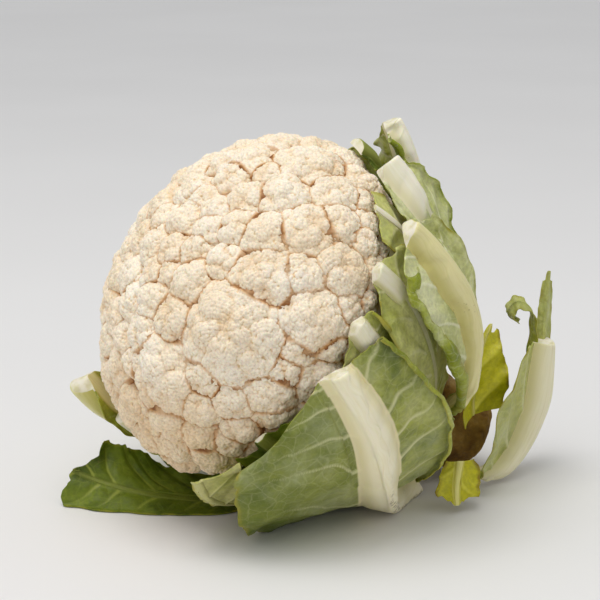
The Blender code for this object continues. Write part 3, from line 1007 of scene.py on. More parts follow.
    def build(self) -> None:
        """Build the core and the florets, joined into pieces by their turn."""
        material = CurdFinish().material()
        florets = self.packed()
        core = self.build_core(material)
        settle_piece(core, "curd", "curd")
        turns = [math.atan2(floret.centre[1], floret.centre[0]) for floret in florets]
        order = sorted(range(len(florets)), key=lambda number: turns[number])
        load = sum(florets[number].seen ** 2 for number in order) / self.pieces
        groups: list[list[bpy.types.Object]] = [[]]
        held = 0.0
        for number in order:
            if held > load:
                groups.append([])
                held = 0.0
            groups[-1].append(self.build_floret(number, florets, material))
            held += florets[number].seen ** 2
        for number, group in enumerate(groups):
            piece = name_piece(join_pieces(group), f"florets_{number + 1:02d}", material)
            settle_piece(piece, "curd", "curd")
            LOG.info("%s: %d faces", piece.name, len(piece.data.polygons))


# ---------------------------------------------------------------- the stump

def turned_ball(profile: Profile, segments: int, rings: int) -> tuple[bpy.types.Object, np.ndarray]:
    """Start a closed turned form from a ball.

    Args:
        profile: height and radius from one pole to the other, in millimetres.
        segments: faces around.
        rings: faces from pole to pole.

    Returns:
        The object, and the turned place of each vertex in head axes.
    """
    deselect()
    bpy.ops.mesh.primitive_uv_sphere_add(segments=segments, ring_count=rings, radius=1.0)
    piece = bpy.context.object
    ball = read_points(piece) * MM
    points = np.array(profile, float)
    lengths = np.concatenate([[0.0], np.cumsum(np.linalg.norm(np.diff(points, axis=0), axis=1))])
    along = np.arccos(np.clip(ball[:, 2], -1.0, 1.0)) / math.pi * lengths[-1]
    height = np.interp(along, lengths, points[:, 0])
    radius = np.interp(along, lengths, points[:, 1])
    turn = np.arctan2(ball[:, 1], ball[:, 0])
    return piece, np.column_stack([radius * np.cos(turn), radius * np.sin(turn), height])


def wobble(points: np.ndarray, size: float, rng: np.random.Generator, waves: int = 9) -> np.ndarray:
    """Smooth random variation from about -1 to 1.

    Args:
        points: places with any number of coordinates.
        size: size of its features, in the places' own unit.
        rng: source of random numbers.
        waves: how many sine waves it is made of.

    Returns:
        A value for each place.
    """
    total = np.zeros(points.shape[:-1])
    for _ in range(waves):
        direction = unit(rng.normal(size=points.shape[-1]))
        pace = 2.0 * math.pi / (size * rng.uniform(0.7, 1.8))
        total += np.sin(points @ direction * pace + rng.uniform(0.0, ANY_TURN))
    return total / (0.62 * waves)


@dataclass
class Stump:
    """The stem's stump, with a rough skin and a hollow in the side that shows."""

    profile: Profile = ((-56.0, 0.0), (-57.0, 22.0), (-75.0, 21.5), (-95.0, 21.0), (-115.0, 22.0),
                        (-130.0, 23.0), (-135.5, 21.0), (-136.5, 17.0), (-135.0, 0.0))
    hollow_turn: float = 20.0
    hollow_height: float = -103.0
    hollow_radius: float = 7.0

    def build(self) -> None:
        """Build the stump."""
        piece, own = turned_ball(self.profile, 128, 150)
        rng = np.random.default_rng(STUMP_SEED)
        away = unit(own * (1.0, 1.0, 0.0) + 1e-6)
        dent = 1.3 * wobble(own, 26.0, rng) + 0.7 * wobble(own, 8.0, rng) + 0.3 * wobble(own, 2.6, rng, 14)
        spot = np.radians(self.hollow_turn)
        centre = np.array([21.0 * math.cos(spot), 21.0 * math.sin(spot), self.hollow_height])
        hollow = np.exp(-(np.linalg.norm(own - centre, axis=1) / self.hollow_radius) ** 2)
        ends = smoothstep(-57.0, -64.0, own[:, 2])
        own = own + away * ((dent - 1.4) * ends - 6.0 * hollow)[:, None]
        place = HEAD.from_own(own)
        place[:, 2] = np.maximum(place[:, 2], 0.0)
        write_points(piece, place)
        write_mask(piece, "hollow", hollow)
        name_piece(piece, "stump", StumpFinish().material())
        settle_piece(piece, "stem", "stem_stump")
        LOG.info("%s: %d faces", piece.name, len(piece.data.polygons))


# ---------------------------------------------------------------- the leaves

class Shell(Enum):
    """Radius of a layer of leaves at heights along the head, or no layer for a free leaf."""

    INNER = ((-74.0, 25.5), (-64.0, 42.0), (-50.0, 62.0), (-34.0, 75.0), (-16.0, 82.5), (0.0, 84.5),
             (20.0, 81.0))
    MIDDLE = ((-92.0, 25.5), (-80.0, 45.0), (-64.0, 64.0), (-44.0, 79.0), (-22.0, 87.0), (0.0, 89.0),
              (20.0, 87.0))
    OUTER = ((-110.0, 25.5), (-97.0, 47.0), (-80.0, 63.0), (-60.0, 77.0), (-38.0, 86.0), (-16.0, 90.0),
             (4.0, 90.0), (24.0, 90.0))
    FREE = ()

    def radius(self, height: np.ndarray) -> np.ndarray:
        """The layer's radius at heights."""
        heights, radii = zip(*self.value)
        return np.interp(height, heights, radii)


class Paint(Enum):
    """The finishes a leaf may have."""

    GREEN = "green_leaf"
    FRONT = "front_leaf"
    TOP = "top_leaf"
    SIDE = "side_leaf"
    PALE = "pale_leaf"
    POUCH = "pouch_leaf"
    LEFT = "left_leaf"
    DARK = "dark_leaf"
    YELLOW = "yellow_leaf"


# a paint's slot, its eight colours in LeafFinish's order, then bloom, specks and roughness
FINISHES = {paint: LeafFinish(paint.value, slot, *colours.split(), *surface)
            for paint, slot, colours, *surface in (
    (Paint.GREEN, "green_leaf", "b2b45e 858c36 9ba232 727e1a f3ecca dcd49c e0deb0 9d9534",
     0.34, 0.5, 0.45),
    (Paint.FRONT, "green_leaf", "a2a748 5f6d1c a9ac3e 7c861e fff6d8 efe4b4 dcdaa8 9d9534",
     0.3, 0.5, 0.45),
    (Paint.TOP, "green_leaf", "cccf8e a4aa50 98a02a 727e12 fff8e2 eee6bc eceac8 949c20",
     0.4, 0.5, 0.45),
    (Paint.SIDE, "green_leaf", "d0d296 a0a556 98a02a 727e12 e9e0a8 cec478 ecebcc 8f8a24",
     0.4, 0.5, 0.45),
    (Paint.PALE, "pale_leaf", "c9ca78 a5aa4a adb03e 868c24 f6efd6 e0daa6 e4e1b0 a9a040",
     0.16, 0.5, 0.45),
    (Paint.POUCH, "yellow_leaf", "bdb974 9fa048 aab04a 7c8a26 d6d098 bdb86c d4d090 a9a040",
     0.1, 0.5, 0.45),
    (Paint.LEFT, "yellow_leaf", "a9ab3e 868c20 a5a83a 7c841c eae3ac c6c05c dcd890 8f8a24",
     0.08, 0.5, 0.45),
    (Paint.DARK, "dark_leaf", "68780e 3f5002 62720c 3e4e02 8e9440 747c28 9aa23e 8a8a28",
     0.0, 0.7, 0.55),
    (Paint.YELLOW, "yellow_leaf", "c3bc14 a29a08 bdb50e 9a9204 e8e08c cdc650 ded850 8b7414",
     0.05, 0.9, 0.45),
)}


@dataclass(frozen=True)
class Margin:
    """How one edge of a blade runs."""

    ruffle: float = 2.5
    wave: float = 26.0
    jag: float = 0.08
    notch: float = 0.06
    roll: float = 0.0
    roll_turn: float = 200.0


def both(*margin: float) -> dict[str, Margin]:
    """The same margin for both edges of a leaf."""
    return {"left_edge": Margin(*margin), "right_edge": Margin(*margin)}


@dataclass
class Leaf:
    """A cut leaf on three rails, with a round rib, side veins and worked edges.

    On a shell, a rail's points are (height, turn, lift above the shell), and a free leaf's are
    (x, y, z) from the point of the floor under the rim's middle. The rib's size is its half width
    at the base and at the tip, then how far it stands out at the base and at the tip.
    """

    name: str
    paint: Paint
    shell: Shell
    left: Rail
    rib: Rail
    right: Rail
    rib_size: tuple[float, float, float, float]
    floor: float = 0.0
    left_edge: Margin = Margin()
    right_edge: Margin = Margin()
    rows: int = 110
    blade: int = 42
    tone_and_shade: tuple[float, float] = (0.0, 0.0)
    rib_tone: float = 1.0
    veins: float = 22.0
    lean: float = 0.85
    pillow: float = 0.9
    taper: float = 1.0
    low_blotch: float = 0.0
    cad: bool = True

    rib_columns: int = 22
    thickness: float = 0.8
    control_rows: int = 9
    control: tuple[float, ...] = (-2.0, -1.68, -1.34, -1.0, -0.6, 0.0, 0.6, 1.0, 1.34, 1.68, 2.0)
    widest: float = 0.5
    clearance: float = 1.1

    def rail(self, points: Rail) -> np.ndarray:
        """Points at equal steps along a smooth curve through a rail.

        Args:
            points: the rail's points.

        Returns:
            One row for each row of control points.
        """
        given = np.array(points, float)
        given = np.vstack([2 * given[0] - given[1], given, 2 * given[-1] - given[-2]])
        step = np.linspace(0.0, len(points) - 1.0, self.control_rows)
        first = np.minimum(step.astype(int), len(points) - 2)
        part = (step - first)[:, None]
        one, two, three, four = (given[first + ahead] for ahead in range(4))
        return 0.5 * (2 * two + (three - one) * part + (2 * one - 5 * two + 4 * three - four) * part ** 2
                      + (3 * two - one - 3 * three + four) * part ** 3)

    def place(self, rail: np.ndarray) -> np.ndarray:
        """Places in millimetres of points in the leaf's own coordinates.

        Args:
            rail: points in the leaf's own coordinates.

        Returns:
            Places in millimetres.
        """
        if self.shell is Shell.FREE:
            return rail + HEAD.centre - FREE_ORIGIN
        return HEAD.point(rail[..., 0], rail[..., 1], self.shell.radius(rail[..., 0]) + rail[..., 2])

    def needed(self, spot: np.ndarray, tree: BVHTree) -> float:
        """The least radius that clears the parts below at a spot.

        Args:
            spot: a height and a turn, and a lift that is not read.
            tree: the parts that lie under this leaf.

        Returns:
            The radius with the clearance, or 0 where nothing is in the way.
        """
        start = Vector(HEAD.point(spot[0], spot[1], PROBE_START))
        inward = Vector(HEAD.point(spot[0], spot[1], 0.0)) - start
        hit = tree.ray_cast(start, inward.normalized(), PROBE_START)
        return 0.0 if hit[0] is None else PROBE_START - hit[3] + self.clearance

    def lifted(self, grid: np.ndarray, tree: BVHTree) -> np.ndarray:
        """The radii of a grid on its shell, pushed out where leaves below are in the way.

        Args:
            grid: height, turn and lift of each control point.
            tree: the parts that lie under this leaf.

        Returns:
            The radius of each control point.
        """
        rows, columns = grid.shape[:2]
        radius = self.shell.radius(grid[..., 0]) + grid[..., 2]
        need = np.zeros((rows, columns))
        for row in range(rows):
            for column in range(columns):
                spots = [grid[row, column] * (1 - part) + grid[near_row, near_column] * part
                         for near_row in range(max(row - 1, 0), min(row + 1, rows - 1) + 1)
                         for near_column in range(max(column - 1, 0), min(column + 1, columns - 1) + 1)
                         for part in PROBE_PARTS]
                need[row, column] = max(self.needed(spot, tree) for spot in spots)
        radius = np.maximum(radius, need)
        for _ in range(EASING_ROUNDS):
            padded = np.pad(radius, 1, mode="edge")
            eased = 0.5 * radius + 0.125 * (padded[:-2, 1:-1] + padded[2:, 1:-1] + padded[1:-1, :-2]
                                            + padded[1:-1, 2:])
            radius = np.maximum(np.maximum(radius - EASING_STEP, eased), need)
        return radius

    def control_places(self, tree: BVHTree) -> np.ndarray:
        """The control points of the leaf's inner face.

        Args:
            tree: the parts that lie under this leaf.

        Returns:
            Places in millimetres, by row from base to tip and by column from left to right.
        """
        left, rib, right = (self.rail(points) for points in (self.left, self.rib, self.right))
        half = np.linspace(self.rib_size[0], self.rib_size[1], self.control_rows)
        grid = np.zeros((self.control_rows, len(self.control), 3))
        for number, column in enumerate(self.control):
            edge = left if column < 0 else right
            reach = np.linalg.norm(self.place(edge) - self.place(rib), axis=1)
            share = np.minimum(half / reach, self.widest)
            step = abs(column)
            part = share * step if step <= 1.0 else share + (step - 1.0) * (1.0 - share)
            grid[:, number] = rib + part[:, None] * (edge - rib)
        if self.shell is Shell.FREE:
            return self.place(grid)
        return HEAD.point(grid[..., 0], grid[..., 1], self.lifted(grid, tree))

    @staticmethod
    def sample(control: np.ndarray, row: np.ndarray, column: np.ndarray) -> np.ndarray:
        """Smoothly interpolate control points at fractional rows and columns.

        Args:
            control: the control points.
            row: fractional rows.
            column: fractional columns.

        Returns:
            A place for each pair of row and column.
        """
        padded = np.pad(control, ((1, 1), (1, 1), (0, 0)), mode="reflect", reflect_type="odd")
        total = np.zeros(row.shape + (3,))
        first_row = np.clip(row.astype(int), 0, control.shape[0] - 2)
        first_column = np.clip(column.astype(int), 0, control.shape[1] - 2)
        weights = []
        for part in (row - first_row, column - first_column):
            weights.append((0.5 * (-part + 2 * part ** 2 - part ** 3),
                            0.5 * (2 - 5 * part ** 2 + 3 * part ** 3),
                            0.5 * (part + 4 * part ** 2 - 3 * part ** 3),
                            0.5 * (part ** 3 - part ** 2)))
        for down in range(4):
            for along in range(4):
                weight = weights[0][down] * weights[1][along]
                total += weight[..., None] * padded[first_row + down, first_column + along]
        return total

    @staticmethod
    def torn(along: np.ndarray, step: float, rng: np.random.Generator) -> np.ndarray:
        """A torn line from 0 to 1 along an edge, with coarse and fine teeth.

        Args:
            along: distances along the edge.
            step: distance between coarse teeth.
            rng: source of random numbers.

        Returns:
            The depth of the tear at each distance.
        """
        coarse = np.arange(along.min() - step, along.max() + 2.0 * step, step)
        fine = np.arange(along.min() - step, along.max() + 2.0 * step, step * 0.27)
        return (0.65 * np.interp(along, coarse, rng.uniform(0.0, 1.0, len(coarse)))
                + 0.35 * np.interp(along, fine, rng.uniform(0.0, 1.0, len(fine))))

    def veining(self, along: np.ndarray, from_rib: np.ndarray, width: np.ndarray, on_left: np.ndarray,
                length: float, rng: np.random.Generator) -> tuple[np.ndarray, np.ndarray]:
        """Side veins that leave the rib on both sides of a leaf.

        Args:
            along: distance of each place along the leaf.
            from_rib: its distance from the rib's edge.
            width: the blade's width there.
            on_left: whether it is on the left half.
            length: the rib's length.
            rng: source of random numbers.

        Returns:
            How much each place is on a vein, and its distance from the nearest one.
        """
        vein = np.zeros_like(along)
        valley = np.full_like(along, 9.0)
        for chosen in (on_left, ~on_left):
            start = -60.0 + rng.uniform(0.0, self.veins)
            while start < length + 10.0:
                bend = 2.2 * np.sin(from_rib / 9.0 + start) + 0.9 * np.sin(from_rib / 3.7 + 2.0 * start)
                line = start + from_rib * self.lean + 0.004 * from_rib ** 2 + bend
                apart = np.abs(along - line) * 0.72
                thick = np.clip(1.35 - 0.7 * from_rib / width, 0.8, 1.35)
                vein = np.where(chosen, np.maximum(vein, np.exp(-(apart / thick) ** 2)), vein)
                valley = np.where(chosen, np.minimum(valley, apart), valley)
                start += self.veins * rng.uniform(0.7, 1.3)
        return vein, valley

    def surface(self, tree: BVHTree) -> dict[str, np.ndarray]:
        """Work out the leaf's two faces and its masks.

        Args:
            tree: the parts that lie under this leaf.

        Returns:
            Grids by name: inner and outer places, masks, and the length and breadth coordinates.
        """
        rng = np.random.default_rng(sum(ord(letter) * (place + 3) for place, letter in enumerate(self.name)))
        control = self.control_places(tree)
        blade = 1.0 + np.linspace(0.0, 1.0, self.blade + 1)[1:] ** 0.92
        rib = np.sin(np.linspace(-math.pi / 2.0, math.pi / 2.0, self.rib_columns + 1))
        column = np.concatenate([-blade[::-1], rib, blade])
        row = np.append(np.linspace(0.0, 1.0, self.rows - 3) * 0.985, (0.992, 0.997, 1.0))
        rows, columns = np.meshgrid(row, column, indexing="ij")
        on_left = columns < 0
        beyond = np.clip(np.abs(columns) - 1.0, 0.0, 1.0)
        length = float(np.linalg.norm(np.diff(self.place(self.rail(self.rib)), axis=0), axis=1).sum())
        breadth = np.linalg.norm(control[:, 0] - control[:, -1], axis=1).mean()
        for chosen, edge in ((on_left, self.left_edge), (~on_left, self.right_edge)):
            depth = edge.jag * self.torn(row * length, 11.0, rng)
            shrink = 1.0 - depth[:, None] * np.ones_like(columns)
            columns = np.where(chosen & (beyond > 0), np.sign(columns) * (1.0 + beyond * shrink), columns)
            notch = edge.notch * self.torn(column * breadth * 0.25, 6.0, rng)
            eased = smoothstep(0.0, 0.25, beyond)
            rows = np.where(chosen, rows * (1.0 - notch[None, :] * eased), rows)
        spots = np.interp(columns, self.control, np.arange(len(self.control)))
        inner = self.sample(control, rows * (self.control_rows - 1), spots)
        normal = self.normals(inner)
        steps = np.linalg.norm(np.diff(inner, axis=1), axis=2)
        middle = len(column) // 2
        across = np.concatenate([np.zeros((len(row), 1)), np.cumsum(steps, axis=1)], axis=1)
        across = across - across[:, middle:middle + 1]
        half = np.linspace(self.rib_size[0], self.rib_size[1], len(row))[:, None]
        slim = (row ** self.taper)[:, None]
        reach = np.where(on_left, -across[:, :1], across[:, -1:])
        from_rib = np.maximum(np.abs(across) - half, 0.0)
        width = np.maximum(reach - half, 1.0)
        along = rows * length
        vein, valley = self.veining(along, from_rib, width, on_left, length, rng)
        toward = np.clip(from_rib / width, 0.0, 1.0)
        vein = vein * (from_rib > 0.0) * (1.0 - 0.6 * toward)
        flat = np.stack([along, across], axis=-1)
        bulge = self.pillow * (smoothstep(0.0, 5.0, valley) * smoothstep(0.0, 6.0, from_rib))
        lift = 0.9 * wobble(flat, 34.0, rng) * smoothstep(2.0, 14.0, from_rib)
        lift = lift + 0.35 * wobble(flat, 9.0, rng) * toward - bulge
        for chosen, edge in ((on_left, self.left_edge), (~on_left, self.right_edge)):
            phase = 2.0 * math.pi * along / edge.wave + 0.8 * wobble(flat, 40.0, rng) + rng.uniform(0.0, 6.0)
            ruffle = edge.ruffle * (0.5 + 0.5 * np.sin(phase)) * toward ** 2.2
            lift = np.where(chosen, lift + ruffle, lift)
        inner = inner + normal * lift[..., None]
        inner, normal = self.rolled(inner, self.normals(inner), rng)
        depth = (self.rib_size[2] + (self.rib_size[3] - self.rib_size[2]) * slim) * self.swell(row)
        round_rib = np.sqrt(np.clip(1.0 - np.minimum(np.abs(columns), 1.0) ** 2, 0.0, 1.0))
        thick = self.thickness * (1.0 - 0.45 * toward) + depth * round_rib
        thick = thick + 0.12 * wobble(flat * (0.12, 1.0), 3.4, rng) * round_rib
        thick[-3:] = thick[-3:] * np.array([[0.99], [0.95], [0.86]])
        outer = inner + normal * (thick + 0.75 * vein * (1.0 - 0.6 * toward))[..., None]
        inner = inner + normal * (0.25 * vein)[..., None]
        inner[..., 2] = np.maximum(inner[..., 2], self.floor + 0.75)
        outer[..., 2] = np.maximum(outer[..., 2], self.floor)
        ribbed = 1.0 - smoothstep(0.0, 1.6, from_rib)
        if self.taper > 1.0:
            slender = np.abs(columns) < 0.35
            ribbed = ribbed * np.maximum(smoothstep(0.76, 0.86, rows), 0.55 * slender)
        ribbed = ribbed * self.rib_tone
        edging = smoothstep(2.2, 0.4, width - from_rib) * (from_rib > 0.0)
        edging = np.maximum(edging, smoothstep(0.985, 1.0, rows)) * (1.0 - ribbed)
        ends = np.zeros_like(along)
        ends[-1] = 1.0
        # brown marks along the rib, strongest toward its base
        low_blotch = self.low_blotch * np.exp(-((columns - 0.15) / 0.35) ** 2) * smoothstep(0.75, 0.2, rows) * ribbed
        # how far each half of the blade darkens, partly its own deeper green and partly painted shade
        tone_and_shade = np.where(on_left, self.tone_and_shade[0], self.tone_and_shade[1]) * (0.75 + 0.25 * wobble(flat, 22.0, rng))
        return {"inner": inner, "outer": outer, "rib": ribbed, "tone_and_shade": tone_and_shade, "vein": vein, "edge": edging,
                "crown": round_rib, "flesh": ends * ribbed, "low_blotch": low_blotch, "breadth": across,
                "length": along}

    def swell(self, row: np.ndarray) -> np.ndarray:
        """How full the rib is along its length: a stub keeps it only near its cut end."""
        return (0.2 + 0.8 * smoothstep(0.74, 0.88, row) if self.taper > 1.0 else np.ones(len(row)))[:, None]

    def normals(self, points: np.ndarray) -> np.ndarray:
        """Unit normals of a grid of places, pointing away from the head's axis.

        Args:
            points: a grid of places.

        Returns:
            A normal for each place.
        """
        normals = unit(np.cross(np.gradient(points, axis=1), np.gradient(points, axis=0)))
        out = points - HEAD.centre
        out = out - (out @ HEAD.crown)[..., None] * HEAD.crown
        return normals if float(np.sum(normals * out)) > 0.0 else -normals

    def rolled(self, points: np.ndarray, normal: np.ndarray,
               rng: np.random.Generator) -> tuple[np.ndarray, np.ndarray]:
        """Roll the edges outward where their margins say so.

        Args:
            points: the places of the face.
            normal: its outward normals.
            rng: source of random numbers.

        Returns:
            The rolled places and their normals.
        """
        points = points.copy()
        count = int(self.blade * 0.45)
        for edge, order in ((self.left_edge, slice(None, None, -1)), (self.right_edge, slice(None))):
            if edge.roll <= 0.0:
                continue
            face = points[:, order]
            outward = normal[:, order]
            last = face.shape[1] - 1
            length = np.arange(len(face)) / len(face)
            size = edge.roll * (1.0 + 0.35 * wobble(length[:, None], 0.35, rng))
            size = size * smoothstep(0.0, 0.15, length)
            steps = np.linalg.norm(np.diff(face, axis=1), axis=2)
            remain = np.cumsum(steps[:, ::-1], axis=1)[:, ::-1]
            new = face.copy()
            for row in range(len(face)):
                radius = max(size[row], 0.3)
                start = int(np.argmax(remain[row] < radius)) if (remain[row] < radius).any() else last - 1
                start = min(start, last - 2)
                keep = last - count
                away = unit(face[row, start] - face[row, start - 1])
                up = outward[row, start]
                flat_spots = np.linspace(0.0, start, keep + 1)
                for axis in range(3):
                    new[row, :keep + 1, axis] = np.interp(flat_spots, np.arange(last + 1), face[row, :, axis])
                turn = np.radians(edge.roll_turn) * np.linspace(0.0, 1.0, count + 1)[1:]
                shrink = 1.0 - 0.25 * turn / math.pi
                new[row, keep + 1:] = (face[row, start] + np.outer(radius * np.sin(turn) * shrink, away)
                                       + np.outer(radius * (1.0 - np.cos(turn)) * shrink, up))
            points[:, order] = new
        return points, self.normals(points)

    def build(self, trees: "Layers") -> None:
        """Model the leaf: a grid with a solid thickness, laid on the worked-out faces.

        Args:
            trees: the parts of the frame, in the order they were laid.
        """
        grids = self.surface(trees.under(self.name))
        rows, columns = grids["inner"].shape[:2]
        deselect()
        bpy.ops.mesh.primitive_grid_add(x_subdivisions=columns - 1, y_subdivisions=rows - 1, size=2.0)
        piece = bpy.context.object
        solid = piece.modifiers.new("thickness", "SOLIDIFY")
        solid.thickness = 0.5
        bpy.ops.object.modifier_apply(modifier=solid.name)
        flat = read_points(piece) * MM
        column = np.round((flat[:, 0] + 1.0) / 2.0 * (columns - 1)).astype(int)
        row = np.round((flat[:, 1] + 1.0) / 2.0 * (rows - 1)).astype(int)
        outside = np.abs(flat[:, 2]) > 0.1
        place = np.where(outside[:, None], grids["outer"][row, column], grids["inner"][row, column])
        write_points(piece, place)
        corner = np.empty(len(piece.data.loops), np.int32)
        piece.data.loops.foreach_get("vertex_index", corner)
        spread = np.stack([grids["breadth"][row, column], grids["length"][row, column]], axis=1)
        layer = piece.data.uv_layers["UVMap"]
        layer.uv.foreach_set("vector", spread[corner].astype(np.float32).ravel())
        for name in ("rib", "vein", "edge", "crown", "flesh", "low_blotch", "tone_and_shade"):
            write_mask(piece, name, grids[name][row, column])
        write_mask(piece, "side", outside.astype(float))
        edit_all(bpy.ops.mesh.normals_make_consistent, inside=False)
        name_piece(piece, self.name + "_fine", trees.materials[self.paint])
        bpy.ops.object.shade_smooth_by_angle(angle=math.radians(55.0))
        settle_piece(piece, FINISHES[self.paint].slot, *((self.name,) if self.cad else ()))
        LOG.info("%s: %d faces", piece.name, len(piece.data.polygons))


class Layers:
    """The frame's parts in the order that they lie on each other, and the leaves' materials."""

    def __init__(self, names: list[str]) -> None:
        """Read the parts' faces.

        Args:
            names: the CAD nodes from the innermost to the outermost.
        """
        self.names = names
        self.materials = {paint: finish.material() for paint, finish in FINISHES.items()}
        self.faces = {}
        for name in names:
            mesh = bpy.data.objects[name].data
            points = [vertex.co / MM for vertex in mesh.vertices]
            self.faces[name] = (points, [tuple(face.vertices) for face in mesh.polygons])

    def under(self, name: str) -> BVHTree:
        """A search tree, in millimetres, of the parts below one.

        Args:
            name: the part to look below, or a name that is not a part for all of them.

        Returns:
            The tree.
        """
        corners, faces = [], []
        last = self.names.index(name) if name in self.names else len(self.names)
        for below in self.names[:last]:
            points, polygons = self.faces[below]
            first = len(corners)
            corners += points
            faces += [[first + corner for corner in face] for face in polygons]
        return BVHTree.FromPolygons(corners, faces)


